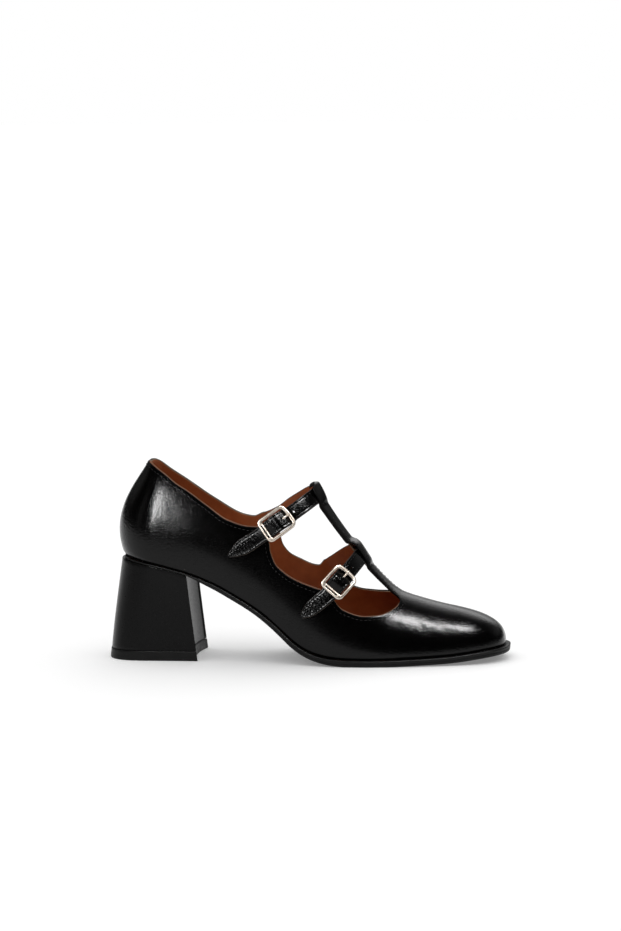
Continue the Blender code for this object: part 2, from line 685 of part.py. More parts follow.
def wire(path, radius):
    # Round wire along a path of points, its end caps welded on
    curve = bpy.data.curves.new("wire", 'CURVE')
    curve.dimensions = '3D'
    curve.bevel_depth = radius
    curve.bevel_resolution = 2
    curve.use_fill_caps = True
    spline = curve.splines.new('POLY')
    spline.points.add(len(path) - 1)
    for point, place in zip(spline.points, path):
        point.co = (*place, 1)
    guide = bpy.data.objects.new("wire", curve)
    shape = bmesh.new()
    shape.from_mesh(bpy.data.meshes.new_from_object(guide))
    bmesh.ops.remove_doubles(shape, verts=shape.verts, dist=WELD)
    shape.verts.index_update()
    points = np.array([vertex.co[:] for vertex in shape.verts])
    faces = [[vertex.index for vertex in face.verts] for face in shape.faces]
    shape.free()
    bpy.data.objects.remove(guide)
    return points, faces


def frame_solid(strap):
    # Rounded rectangular frame, its end nearest the T-bar bowed outward
    corner = np.linspace(0, np.pi / 2, 4)
    long, wide = strap.reach - FRAME_CORNER, FRAME_HALF_WIDTH - FRAME_CORNER
    plan = []
    for k, (sq, sb) in enumerate(((1, 1), (-1, 1), (-1, -1), (1, -1))):
        turn = corner + k * np.pi / 2
        plan += [(sq * long + FRAME_CORNER * np.cos(a), sb * wide + FRAME_CORNER * np.sin(a)) for a in turn]
        if k == 1:
            plan.append((-strap.reach, 0.0))
    plan = np.array(plan)
    near = np.clip(-plan[:, 0] / strap.reach, 0, 1) ** 4
    plan[:, 0] -= FRAME_BOW * near * (1 - (plan[:, 1] / FRAME_HALF_WIDTH) ** 2)
    along = unit(np.roll(plan, -1, axis=0) - np.roll(plan, 1, axis=0))
    out = np.column_stack([along[:, 1], -along[:, 0]])
    far = np.clip((plan[:, 0] - long) / FRAME_CORNER, 0, 1)
    angle = np.arange(8) * np.pi / 4 + np.pi / 8
    spread = (FRAME_BAR + (END_BAR - FRAME_BAR) * far) / 2 / np.cos(np.pi / 8)
    rise = FRAME_THICK / 2 / np.cos(np.pi / 8)
    loops = np.stack([strap.lay(strap.pin + plan[:, 0] + spread * np.cos(a) * out[:, 0],
                                plan[:, 1] + spread * np.cos(a) * out[:, 1],
                                FRAME_LEVEL + rise * np.sin(a)) for a in angle], 1)
    count, sides = len(loops), len(angle)
    faces = []
    for r in range(count):
        for i in range(sides):
            j, n = (i + 1) % sides, (r + 1) % count
            faces.append([r * sides + i, r * sides + j, n * sides + j, n * sides + i])
    return loops.reshape(-1, 3), faces


def end_slot(strap):
    middle = strap.pin + strap.reach
    reach = END_SLOT_WIDTH / 2
    return block(strap, (middle - reach, middle + reach), END_SLOT_HALF, FRAME_LEVEL - FRAME_THICK,
                 FRAME_LEVEL + FRAME_THICK)


def pin_solid(strap):
    # Centre bar with its ends turned up into the frame
    half, high = FRAME_HALF_WIDTH, FRAME_LEVEL - 0.2
    bend = 0.3 * PIN_TURN
    ends = ((-half, high), (-half, PIN_LEVEL + PIN_TURN), (-half + bend, PIN_LEVEL + bend),
            (-half + PIN_TURN, PIN_LEVEL))
    rows = list(ends) + [(0.0, PIN_LEVEL)] + [(-b, o) for b, o in reversed(ends)]
    path = np.array([strap.lay(strap.pin, b, o) for b, o in rows])
    return wire(path, PIN_RADIUS)


# Prong past the centre bar: place from the pin as a share of the frame's reach, height
PRONG = ((-0.21, 3.4), (-0.36, 3.3), (-0.5, 3.8), (-0.625, 4.8),
         (-0.735, 5.7), (-0.875, 6.3), (-1.055, 6.6), (-1.15, 6.6))


def prong_solid(strap):
    # Hooked round the centre bar, up through the strap and over the bowed end of the frame
    turn = PIN_RADIUS + PRONG_PLAY + PRONG_RADIUS
    angle = np.radians(np.arange(-150, 91, 30))
    rows = [(turn * np.cos(a), PIN_LEVEL + turn * np.sin(a)) for a in angle]
    rows += [(share * strap.reach, o) for share, o in PRONG]
    path = np.array([strap.lay(strap.pin + q, 0.0, o) for q, o in rows])
    return wire(path, PRONG_RADIUS)


def tab_solid(strap):
    # Leather tab from the outer quarter, turned round the centre bar
    turn = PIN_RADIUS + TAB_PLAY + TAB_THICK / 2
    low = PIN_LEVEL - turn
    angle = np.radians(np.arange(-90, -346, -30))
    rows = [(q, low) for q in (TAB_LENGTH, 11.0, 8.0, 5.0, 2.2)]
    rows += [(turn * np.cos(a), PIN_LEVEL + turn * np.sin(a)) for a in angle]
    rows = np.array(rows)
    along = unit(np.gradient(rows, axis=0))
    out = np.column_stack([-along[:, 1], along[:, 0]]) * TAB_THICK / 2
    half = TAB_WIDTH / 2
    loops = [strap.lay(strap.pin + rows[:, 0] + k * out[:, 0], b, rows[:, 1] + k * out[:, 1])
             for k, b in ((1, -half), (1, half), (-1, half), (-1, -half))]
    return tube_solid(np.stack(loops, 1))


def joined(*solids):
    points, faces, start = [], [], 0
    for p, f in solids:
        points.append(np.asarray(p))
        faces += [[i + start for i in face] for face in f]
        start += len(p)
    return np.concatenate(points), faces


for thing in list(bpy.data.objects):
    bpy.data.objects.remove(thing, do_unlink=True)

shoe = bpy.data.collections.new("buckle_shoe")
cutters = bpy.data.collections.new("cutters")
bpy.context.scene.collection.children.link(shoe)
bpy.context.scene.collection.children.link(cutters)

BLACK_LEATHER = ((0.012, 0.011, 0.011), 0.28, 0.0)
BLACK_RUBBER = ((0.014, 0.014, 0.014), 0.6, 0.0)
TAN_LEATHER = ((0.30, 0.12, 0.05), 0.5, 0.0)
PALE_GOLD = ((0.86, 0.74, 0.60), 0.22, 1.0)


def build(name, solid, look=None):
    points, faces = solid
    mesh = bpy.data.meshes.new(name)
    mesh.from_pydata([tuple((np.asarray(p) - CENTRE) * MM) for p in points], [], faces)
    shape = bmesh.new()
    shape.from_mesh(mesh)
    bmesh.ops.recalc_face_normals(shape, faces=shape.faces)
    shape.to_mesh(mesh)
    shape.free()
    mesh.shade_smooth()
    mesh.set_sharp_from_angle(angle=CRISP)
    thing = bpy.data.objects.new(name, mesh)
    if look is None:
        cutters.objects.link(thing)
        thing.hide_render = True
        thing.display_type = 'WIRE'
        return thing
    shoe.objects.link(thing)
    colour, rough, metal = look
    material = bpy.data.materials.new(name)
    material.use_nodes = True
    shader = material.node_tree.nodes["Principled BSDF"]
    shader.inputs["Base Color"].default_value = (*colour, 1)
    shader.inputs["Roughness"].default_value = rough
    shader.inputs["Metallic"].default_value = metal
    mesh.materials.append(material)
    return thing


def combine(thing, other, operation):
    step = thing.modifiers.new(other.name, 'BOOLEAN')
    step.operation = operation
    step.solver = 'EXACT'
    step.object = other


build("outsole", outsole(), BLACK_RUBBER)
build("insole", insole(), TAN_LEATHER)
build("heel_block", heel_block(), BLACK_LEATHER)
build("heel_top_lift", heel_top_lift(), BLACK_RUBBER)

upper = build("upper", upper_skin(), BLACK_LEATHER)
for name, strap in (("instep", INSTEP), ("vamp", VAMP)):
    pin = strap.pin
    combine(upper, build("tunnel_" + name, tunnel(strap)), 'DIFFERENCE')
    band = build("strap_" + name, strap_solid(strap), BLACK_LEATHER)
    slot = block(strap, pin + strap.reach * np.linspace(SLOT_FAR, SLOT_NEAR, 4), SLOT_WIDTH / 2, 0.0, 9.0)
    hole = post(strap, pin - HOLE_STEP, HOLE_RADIUS, -1.0, 5.0)
    combine(band, build("holes_" + name, joined(slot, hole)), 'DIFFERENCE')
    tab = build("buckle_tab_" + name, tab_solid(strap), BLACK_LEATHER)
    gate = block(strap, pin + np.linspace(-GATE_HALF, GATE_HALF, 3), SLOT_WIDTH / 2, -1.5, 5.5)
    combine(tab, build("gate_" + name, gate), 'DIFFERENCE')
    frame = build("buckle_" + name, frame_solid(strap), PALE_GOLD)
    combine(frame, build("end_slot_" + name, end_slot(strap)), 'DIFFERENCE')
    combine(frame, build("pin_" + name, pin_solid(strap)), 'UNION')
    build("prong_" + name, prong_solid(strap), PALE_GOLD)
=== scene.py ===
import math
import bmesh
import bpy
import numpy as np
from mathutils import Matrix, Vector


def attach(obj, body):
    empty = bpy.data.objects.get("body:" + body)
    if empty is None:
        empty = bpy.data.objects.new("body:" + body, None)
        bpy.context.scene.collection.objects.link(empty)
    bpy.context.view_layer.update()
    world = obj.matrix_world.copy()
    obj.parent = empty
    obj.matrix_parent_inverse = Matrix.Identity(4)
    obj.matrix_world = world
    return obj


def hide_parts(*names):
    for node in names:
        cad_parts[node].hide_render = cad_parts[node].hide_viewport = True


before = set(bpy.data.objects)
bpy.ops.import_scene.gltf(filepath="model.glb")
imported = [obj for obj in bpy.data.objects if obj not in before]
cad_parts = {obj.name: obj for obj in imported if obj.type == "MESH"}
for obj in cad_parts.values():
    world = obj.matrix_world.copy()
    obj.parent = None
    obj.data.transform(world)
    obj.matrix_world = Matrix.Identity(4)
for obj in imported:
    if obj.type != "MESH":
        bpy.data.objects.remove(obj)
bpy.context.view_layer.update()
print("frame loaded:", len(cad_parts), "nodes")

# Everything below is laid out in millimetres round the shoe's own middle; toFrame takes it to the frame
mm = 0.001
middle = np.array([-1.533, -1.683, 0.0])
lateral, medial = -1, 1


def toFrame(points):
    return (np.asarray(points, float) - middle) * mm


# Studio: the photograph's camera, a pale floor, a white backdrop and a light from above
studio = {
    "azimuth": 6.0, "elevation": 8.3, "pitch": 6.6, "roll": -0.6,                     # degrees
    "distance": 2000.0, "aimHeight": 60.0,                                            # mm
    "focalPixels": 3200.0, "longSidePixels": 931, "sensor": 36.0, "farthest": 200,
    "floorWide": 40.0, "floorBack": 40.0, "floorFront": 0.75, "floorDrop": 0.0001,    # m
    "floorWhite": 0.8, "floorGlow": 0.215,
    "backWall": 1.8, "sideWall": 0.26, "backFoot": 0.15, "ceiling": 0.04,             # brightness
    "footTo": 0.2, "wallFrom": 0.34, "wallTo": 0.48, "ceilingFrom": 0.84,             # heights in the sky
    "backdropAt": 0.07, "backdropHalf": 0.16, "backdropFade": 0.2, "frontFade": 0.35,
    "overhead": 2.95, "overheadSpread": 125, "overheadHeight": 2.0,                   # W/m2, degrees, m
}
# Soft boxes: azimuth and elevation from what they light, distance, width, height (m), watts, aim (mm)
softBoxes = {
    "counterBox": (-14, 14, 0.1, 0.014, 0.045, 0.16, (-92, -24, 98)),
    "vampBox": (61, 70, 1.2, 0.22, 0.35, 17, (66, -27, 27)),
    "sideBox": (-58, 14, 2.4, 0.5, 0.9, 0.6, (-100, -20, 60)),
}
trimBox, trimAim = (-22, 38, 1.5, 0.8, 0.8), (0, -35, 70)
trimWatts = {"instep": {"Trim": 19, "Gold": 3}, "vamp": {"Trim": 48, "Gold": 9}}    # strap, buckle


def direction(azimuth, elevation):
    # Out to a camera or a lamp, in degrees: azimuth 0 faces the outer side, + turns to the toe
    a, e = math.radians(azimuth), math.radians(elevation)
    return Vector((math.sin(a) * math.cos(e), -math.cos(a) * math.cos(e), math.sin(e)))


def addToScene(name, data):
    made = bpy.data.objects.new(name, data)
    bpy.context.scene.collection.objects.link(made)
    return made


def placeCamera(cfg):
    away = direction(cfg["azimuth"], cfg["elevation"])
    spot = Vector((0, 0, cfg["aimHeight"])) + away * cfg["distance"]
    look = -direction(cfg["azimuth"], cfg["pitch"])
    right = look.cross(Vector((0, 0, 1))).normalized()
    up = right.cross(look)
    roll = math.radians(cfg["roll"])
    rolledRight = right * math.cos(roll) + up * math.sin(roll)
    rolledUp = up * math.cos(roll) - right * math.sin(roll)
    turn = Matrix((rolledRight, rolledUp, -look)).transposed().to_4x4()
    data = bpy.data.cameras.new("photoCamera")
    data.sensor_width = cfg["sensor"]
    data.lens = cfg["focalPixels"] / cfg["longSidePixels"] * cfg["sensor"]
    data.clip_end = cfg["farthest"]
    camera = addToScene("photoCamera", data)
    camera.matrix_world = Matrix.Translation(Vector(toFrame(spot))) @ turn
    bpy.context.scene.camera = camera


def addNode(tree, kind, sockets=None, **settings):
    made = tree.nodes.new("ShaderNode" + kind)
    for name, value in settings.items():
        setattr(made, name, value)
    for name, value in (sockets or {}).items():
        if isinstance(value, bpy.types.NodeSocket):
            tree.links.new(value, made.inputs[name])
        else:
            made.inputs[name].default_value = value
    return made


def reckon(tree, operation, *values):
    return addNode(tree, "Math", dict(enumerate(values)), operation=operation).outputs["Value"]


def spread(tree, value, near, far, low=0.0, high=1.0, kind='SMOOTHSTEP'):
    # What lies from near to far is taken to low .. high
    ends = {"Value": value, "From Min": near, "From Max": far, "To Min": low, "To Max": high}
    return addNode(tree, "MapRange", ends, interpolation_type=kind).outputs["Result"]


def ramp(tree, value, *stops):
    # Colours by place: both ends first, then what lies between them
    made = addNode(tree, "ValToRGB", {"Fac": value})
    line = made.color_ramp.elements
    for k, (place, colour) in enumerate(stops):
        stop = line[k] if k < 2 else line.new(place)
        stop.position = place
        stop.color = (*colour, 1)
    return made.outputs["Color"]


def lightSky(cfg):
    # White backdrop behind the shoe, dim sides, dark room in front; seen directly it is plain white
    world = bpy.data.worlds.new("studioSky")
    bpy.context.scene.world = world
    world.use_nodes = True
    tree = world.node_tree
    tree.nodes.clear()
    sky = addNode(tree, "TexCoord").outputs["Generated"]
    toward = addNode(tree, "SeparateXYZ", {"Vector": sky}).outputs
    behind = spread(tree, toward["Y"], 0.0, cfg["frontFade"])
    aside = reckon(tree, 'ABSOLUTE', reckon(tree, 'SUBTRACT', toward["X"], cfg["backdropAt"]))
    wallLight = spread(tree, aside, cfg["backdropHalf"], cfg["backdropHalf"] + cfg["backdropFade"],
                       cfg["backWall"], cfg["sideWall"])
    height = ramp(tree, toward["Z"], (cfg["footTo"], (cfg["backFoot"],) * 3),
                  (cfg["ceilingFrom"], (cfg["ceiling"],) * 3),
                  (cfg["wallFrom"], (1, 1, 1)), (cfg["wallTo"], (1, 1, 1)))
    shine = reckon(tree, 'MULTIPLY', reckon(tree, 'MULTIPLY', behind, wallLight), height)
    room = addNode(tree, "Background", {"Color": (1, 1, 1, 1), "Strength": shine})
    drop = addNode(tree, "Background", {"Color": (1, 1, 1, 1), "Strength": 1.0})
    seen = addNode(tree, "LightPath").outputs["Is Camera Ray"]
    mixed = addNode(tree, "MixShader", {"Fac": seen, 1: room.outputs[0], 2: drop.outputs[0]})
    addNode(tree, "OutputWorld", {"Surface": mixed.outputs[0]})


def softBox(name, azimuth, elevation, distance, width, height, watts, aim):
    data = bpy.data.lights.new(name, 'AREA')
    data.shape = 'RECTANGLE'
    data.size, data.size_y = width, height
    data.energy = watts
    lamp = addToScene(name, data)
    away = direction(azimuth, elevation)
    lamp.location = Vector(toFrame(aim)) + away * distance
    lamp.rotation_euler = (-away).to_track_quat('-Z', 'Y').to_euler()
    lamp.visible_diffuse = False    # only mirrored in the leather and the buckles
    lamp.visible_camera = False
    return lamp


def flag(lamp, name):
    # Flagged off everything but the pieces added to the collection it returns
    lit = bpy.data.collections.new(name)
    lamp.light_linking.receiver_collection = lit
    return lit


def overheadLight(cfg):
    data = bpy.data.lights.new("overheadLight", 'SUN')
    data.energy = cfg["overhead"]
    data.angle = math.radians(cfg["overheadSpread"])
    lamp = addToScene("overheadLight", data)
    lamp.location = (0, 0, cfg["overheadHeight"])
    lamp.visible_glossy = False


def startMaterial(name):
    made = bpy.data.materials.new(name)
    made.use_nodes = True
    return made, made.node_tree, made.node_tree.nodes["Principled BSDF"]


def layFloor(cfg):
    # The white sheet ends just short of the picture, so the leather mirrors a dark room beyond it
    side, front, back, level = cfg["floorWide"] / 2, -cfg["floorFront"], cfg["floorBack"], -cfg["floorDrop"]
    ends = ((-side, front), (side, front), (side, back), (-side, back))
    mesh = bpy.data.meshes.new("studioFloor")
    mesh.from_pydata([(x, y, level) for x, y in ends], [], [(0, 1, 2, 3)])
    floor = addToScene("studioFloor", mesh)
    paint, tree, shader = startMaterial("paleFloor")
    shader.inputs["Base Color"].default_value = (cfg["floorWhite"],) * 3 + (1,)
    shader.inputs["Roughness"].default_value = 1.0
    shader.inputs["Specular IOR Level"].default_value = 0.0
    shader.inputs["Emission Color"].default_value = (1, 1, 1, 1)
    shader.inputs["Emission Strength"].default_value = cfg["floorGlow"]
    floor.data.materials.append(paint)


bpy.context.scene.view_settings.view_transform = 'Standard'
placeCamera(studio)
lightSky(studio)
layFloor(studio)
overheadLight(studio)
for name, settings in softBoxes.items():
    softBox(name, *settings)
litBy = {}
for strap, watts in trimWatts.items():
    for kind, power in watts.items():
        lamp = softBox(strap + kind + "Box", *trimBox, power, trimAim)
        litBy[strap + kind] = flag(lamp, strap + kind + "Lit")
print("studio set")

# Finishes: colours, gloss from smooth to dull, then grain and ripple: scale per m, depth in m, strength
# Cloud is for slow patches of colour, stray for how far the grain's lines wander
hideLook = {"cloud": 55, "cloudDetail": 4.0, "cloudRough": 0.6, "stray": 0.0005, "strayScale": 0.5}
leatherLook = {**hideLook, "dark": (0.0007, 0.0007, 0.0008), "light": (0.0018, 0.0017, 0.0017),
               "specular": 0.2, "smooth": 0.12, "dull": 0.17, "grain": 850, "crack": 0.1,
               "grainDepth": 0.000023, "grainStrength": 0.6, "ripple": 800, "rippleDepth": 0.0002,
               "rippleStrength": 0.6, "calmAt": -0.012, "calmNear": 0.04, "calmFar": 0.082, "calm": 0.12}
liningLook = {**hideLook, "dark": (0.30, 0.080, 0.022), "light": (0.42, 0.122, 0.038),
              "specular": 0.25, "smooth": 0.5, "dull": 0.62, "grain": 1500, "crack": 0.3,
              "grainDepth": 0.00004, "grainStrength": 0.3, "ripple": 160, "rippleDepth": 0.0002,
              "rippleStrength": 0.15}
cutEdgeLook = {**liningLook, "dark": (0.17, 0.10, 0.055), "light": (0.28, 0.18, 0.11),
               "smooth": 0.6, "dull": 0.8}
rubberLook = {**hideLook, "dark": (0.004, 0.004, 0.004), "light": (0.008, 0.008, 0.008),
              "specular": 0.18, "smooth": 0.36, "dull": 0.5, "grain": 2600, "crack": 0.3,
              "grainDepth": 0.00004, "grainStrength": 0.25, "ripple": 300, "rippleDepth": 0.0001,
              "rippleStrength": 0.1}
hideLooks = {
    "blackLeather": leatherLook,
    "strapLeather": {**leatherLook, "rippleStrength": 0.25, "ripple": 420},
    "heelLeather": {**leatherLook, "specular": 0.15, "smooth": 0.26, "dull": 0.36, "grainStrength": 0.2,
                    "rippleStrength": 0.05},
    "edgePaint": {**leatherLook, "smooth": 0.5, "dull": 0.6, "specular": 0.12},
    "liningLeather": liningLook,
    "insoleLeather": {**liningLook, "dark": (0.26, 0.07, 0.02), "light": (0.37, 0.106, 0.034)},
    "cutEdge": cutEdgeLook,
    "strapEdge": {**cutEdgeLook, "dark": (0.016, 0.012, 0.010), "light": (0.045, 0.034, 0.027),
                  "smooth": 0.4, "dull": 0.6},
    "soleRubber": rubberLook,
    "blackThread": {**leatherLook, "dark": (0.004, 0.004, 0.004), "light": (0.009, 0.008, 0.008),
                    "smooth": 0.35, "dull": 0.5, "grain": 5000},
}
goldLook = {"dark": (0.70, 0.60, 0.50), "light": (0.86, 0.78, 0.69), "smooth": 0.3, "dull": 0.42,
            "cloud": 420, "sharper": 0.05, "brush": 900, "brushDepth": 0.00003, "brushStrength": 0.12}
noiseLow, noiseHigh = 0.3, 0.7    # most of a noise lies between these


def noise(tree, spot, scale, detail, rough=0.5):
    sockets = {"Vector": spot, "Scale": float(scale), "Detail": detail, "Roughness": rough}
    return addNode(tree, "TexNoise", sockets).outputs


def mottle(tree, shader, cloud, gloss, cfg, sharper=0.0):
    # Colour and gloss wander between the two ends of the finish
    colour = ramp(tree, cloud, (noiseLow + sharper, cfg["dark"]), (noiseHigh - sharper, cfg["light"]))
    tree.links.new(colour, shader.inputs["Base Color"])
    rough = spread(tree, gloss, noiseLow, noiseHigh, cfg["smooth"], cfg["dull"], 'LINEAR')
    tree.links.new(rough, shader.inputs["Roughness"])


def bump(tree, height, strength, depth, **under):
    sockets = {"Height": height, "Strength": strength, "Distance": depth, **under}
    return addNode(tree, "Bump", sockets).outputs["Normal"]


def hide(name, cfg):
    # Leather, lining, rubber or thread: mottled colour and gloss, fine grain over a slow ripple
    made, tree, shader = startMaterial(name)
    spot = addNode(tree, "TexCoord").outputs["Object"]
    cloud = noise(tree, spot, cfg["cloud"], cfg["cloudDetail"], cfg["cloudRough"])["Fac"]
    ripple = noise(tree, spot, cfg["ripple"], 3.0)["Fac"]
    mottle(tree, shader, cloud, ripple, cfg)
    wander = noise(tree, spot, cfg["grain"] * cfg["strayScale"], 1.0)["Color"]
    bent = addNode(tree, "VectorMath", {0: wander, 1: (cfg["stray"],) * 3}, operation='MULTIPLY')
    strayed = addNode(tree, "VectorMath", {0: spot, 1: bent.outputs["Vector"]}, operation='ADD')
    cells = addNode(tree, "TexVoronoi", {"Vector": strayed.outputs["Vector"], "Scale": float(cfg["grain"])},
                    feature='DISTANCE_TO_EDGE')
    plates = spread(tree, cells.outputs["Distance"], 0.0, cfg["crack"])
    if "calm" in cfg:    # smooth along the waist, its ripple shows at the counter and the vamp
        along = addNode(tree, "SeparateXYZ", {"Vector": spot}).outputs["X"]
        away = reckon(tree, 'ABSOLUTE', reckon(tree, 'SUBTRACT', along, cfg["calmAt"]))
        share = spread(tree, away, cfg["calmNear"], cfg["calmFar"], cfg["calm"])
        ripple = reckon(tree, 'MULTIPLY', ripple, share)
    swell = bump(tree, ripple, cfg["rippleStrength"], cfg["rippleDepth"])
    grain = bump(tree, plates, cfg["grainStrength"], cfg["grainDepth"], Normal=swell)
    tree.links.new(grain, shader.inputs["Normal"])
    shader.inputs["Specular IOR Level"].default_value = cfg["specular"]
    return made


def gold(name, cfg):
    made, tree, shader = startMaterial(name)
    spot = addNode(tree, "TexCoord").outputs["Object"]
    cloud = noise(tree, spot, cfg["cloud"], 3.0)["Fac"]
    mottle(tree, shader, cloud, cloud, cfg, cfg["sharper"])
    brush = noise(tree, spot, cfg["brush"], 2.0)["Fac"]
    worn = bump(tree, brush, cfg["brushStrength"], cfg["brushDepth"])
    tree.links.new(worn, shader.inputs["Normal"])
    shader.inputs["Metallic"].default_value = 1.0
    return made


finishes = {name: hide(name, look) for name, look in hideLooks.items()}
finishes["paleGold"] = gold("paleGold", goldLook)
print("materials ready:", len(finishes))


# Shape of the shoe, the same rules as the solids follow
def sizeTable(columns, rows):
    # Named sizes along the shoe, read between rows by a natural cubic
    rows = np.array(rows, float)
    names = columns.split()
    at, step, count = rows[:, 0], np.diff(rows[:, 0]), len(rows)
    matrix = np.eye(count)
    for i in range(1, count - 1):
        matrix[i, i - 1:i + 2] = step[i - 1], 2 * (step[i - 1] + step[i]), step[i]
    slope = np.diff(rows, axis=0) / step[:, None]
    right = np.zeros_like(rows)
    right[1:-1] = 6 * np.diff(slope, axis=0)
    bends = np.linalg.solve(matrix, right)

    def read(column, x):
        c = names.index(column)
        y, k = rows[:, c], bends[:, c]
        x = np.asarray(x, float)
        i = np.clip(np.searchsorted(at, x) - 1, 0, count - 2)
        inside = np.clip(x, at[0], at[-1])
        a, b = (at[i + 1] - inside) / step[i], (inside - at[i]) / step[i]
        value = a * y[i] + b * y[i + 1] + ((a ** 3 - a) * k[i] + (b ** 3 - b) * k[i + 1]) * step[i] ** 2 / 6
        first = slope[0, c] - step[0] * (2 * k[0] + k[1]) / 6
        final = slope[-1, c] + step[-1] * (2 * k[-1] + k[-2]) / 6
        return value + np.minimum(x - at[0], 0) * first + np.maximum(x - at[-1], 0) * final

    return read


def cutLine(rows):
    # A line through rows that never swings past them
    rows = np.array(rows, float)
    at, y = rows[:, 0], rows[:, 1]
    h, d = np.diff(at), np.diff(y) / np.diff(at)
    m = np.concatenate([d[:1], np.zeros(len(d) - 1), d[-1:]])
    for i in range(1, len(d)):
        if d[i - 1] * d[i] > 0:
            a, b = 2 * h[i] + h[i - 1], h[i] + 2 * h[i - 1]
            m[i] = (a + b) / (a / d[i - 1] + b / d[i])

    def read(x):
        x = np.clip(np.asarray(x, float), at[0], at[-1])
        i = np.clip(np.searchsorted(at, x) - 1, 0, len(h) - 1)
        u = (x - at[i]) / h[i]
        return ((1 + 2 * u) * (1 - u) ** 2 * y[i] + u * (1 - u) ** 2 * h[i] * m[i]
                + u * u * (3 - 2 * u) * y[i + 1] + u * u * (u - 1) * h[i] * m[i + 1])

    return read


gap, wall = 0.3, 1.8    # between pieces that meet, and through the upper
heelCentre, heelReach = -94.0, 23.3
toeCentre, toeReach = 86.0, 35.3
toeSquare = {lateral: 2.8, medial: 2.4}
throat, barTop = 56.6, 0.0    # X of the cut-out's front end and of the T-bar's upper end
split = 0.76                  # share of the vamp's height where its wall ends and its top begins
behindHeel = -126.0

planSize = sizeTable("x lateral medial", (
    (-94, 25.4, 25.0), (-75, 25.8, 24.4), (-55, 27.0, 22.6), (-35, 29.6, 22.2), (-15, 33.6, 25.6),
    (0, 37.0, 29.8), (15, 39.6, 33.8), (30, 40.6, 36.6), (45, 39.8, 37.2), (60, 37.6, 35.8),
    (75, 34.6, 33.2), (86, 32.2, 31.0)))
seatSize = sizeTable("x height", (
    (-117.5, 63.6), (-98, 60.6), (-85.6, 57.6), (-73, 54.0), (-66, 51.4), (-57, 47.6), (-47, 42.2),
    (-36, 35.8), (-26, 28.9), (-16, 20.6), (-8, 13.6), (0, 8.6), (8, 5.8), (18, 4.3), (30, 3.9), (50, 3.9),
    (70, 4.5), (90, 5.6), (107, 7.5), (121.5, 8.8)))
soleSize = sizeTable("x thick ledge", (
    (-126, 1.0, 0.2), (-94, 1.0, 0.2), (-83, 1.0, 0.2), (-75, 1.2, 0.2), (-64, 2.5, 0.3), (-54, 2.9, 0.4),
    (-30, 2.9, 0.6), (-5, 3.3, 1.5), (20, 4.0, 2.3), (60, 4.0, 2.5), (100, 4.2, 2.7), (126, 4.2, 2.8)))
ridgeSize = sizeTable("x height", (
    (-118, 150), (-94, 148), (-60, 141), (-30, 130), (-10, 118), (3, 104.5), (13, 89.5), (23, 75.0),
    (33, 62.0), (43, 51.0), (51, 44.2), (58, 40.6), (67.6, 37.4), (80, 34.0), (95, 30.8), (107.5, 28.5),
    (122, 25.6)))
sectionSize = sizeTable("x bulge wall lean rise", (
    (-117.3, 15.2, 0.447, 1.20, 0.68), (-94, 5.0, 0.36, 0.26, 0.75), (-75, 4.5, 0.36, 0.22, 0.78),
    (-55, 4.0, 0.36, 0.24, 0.80), (-35, 3.5, 0.36, 0.28, 0.82), (-15, 3.0, 0.36, 0.30, 0.86),
    (0, 2.5, 0.36, 0.33, 0.90), (15, 2.0, 0.36, 0.36, 0.94), (35, 1.5, 0.38, 0.40, 0.98),
    (60, 1.2, 0.42, 0.40, 1.0), (86, 1.2, 0.48, 0.36, 1.0), (121.3, 0.3, 0.74, 0.22, 1.0)))
barSize = sizeTable("x half raise depth", (
    (-4, 9.0, 2.1, 1.0), (16, 8.9, 2.0, 1.0), (36, 8.8, 1.9, 1.0), (43, 9.0, 1.5, 1.1),
    (49, 10.0, 1.0, 1.4), (53, 11.4, 0.5, 1.7), (55.4, 12.8, 0.2, 1.8), (56.6, 15.2, 0.0, 1.8)))


def unit(v):
    return v / np.maximum(np.linalg.norm(v, axis=-1, keepdims=True), 1e-9)


def runAlong(points):
    # Length of a line from its start to each of its points
    return np.concatenate([[0], np.cumsum(np.linalg.norm(np.diff(points, axis=0), axis=1))])


def eased(u):
    u = np.clip(u, 0, 1)
    return u * u * (3 - 2 * u)


def halfWidth(side, x):
    return planSize("lateral" if side == lateral else "medial", x)


def outline(side, s, grow=0.0):
    # Plan: s runs 0..1 round the heel, 1..2 along the side, 2..3 round the toe
    s = np.asarray(s, float)
    heel = np.clip(s, 0, 1) * np.pi / 2
    toe = np.clip(3 - s, 0, 1) * np.pi / 2
    along = heelCentre + (toeCentre - heelCentre) * np.clip(s - 1, 0, 1)
    power = 2 / toeSquare[side]
    heelX = heelCentre - (heelReach + grow) * np.cos(heel)
    heelY = (halfWidth(side, heelCentre) + grow) * np.sin(heel)
    toeX = toeCentre + (toeReach + grow) * np.maximum(np.cos(toe), 0) ** power
    taper = halfWidth(side, toeCentre + 0.5) - halfWidth(side, toeCentre - 0.5)
    toeY = halfWidth(side, toeCentre) + grow + taper * (toeX - toeCentre)
    toeY = toeY * np.maximum(np.sin(toe), 0) ** power
    x = np.where(s < 1, heelX, np.where(s > 2, toeX, along))
    y = np.where(s < 1, heelY, np.where(s > 2, toeY, halfWidth(side, along) + grow))
    return x, side * y


def station(x):
    return 1 + (np.asarray(x, float) - heelCentre) / (toeCentre - heelCentre)


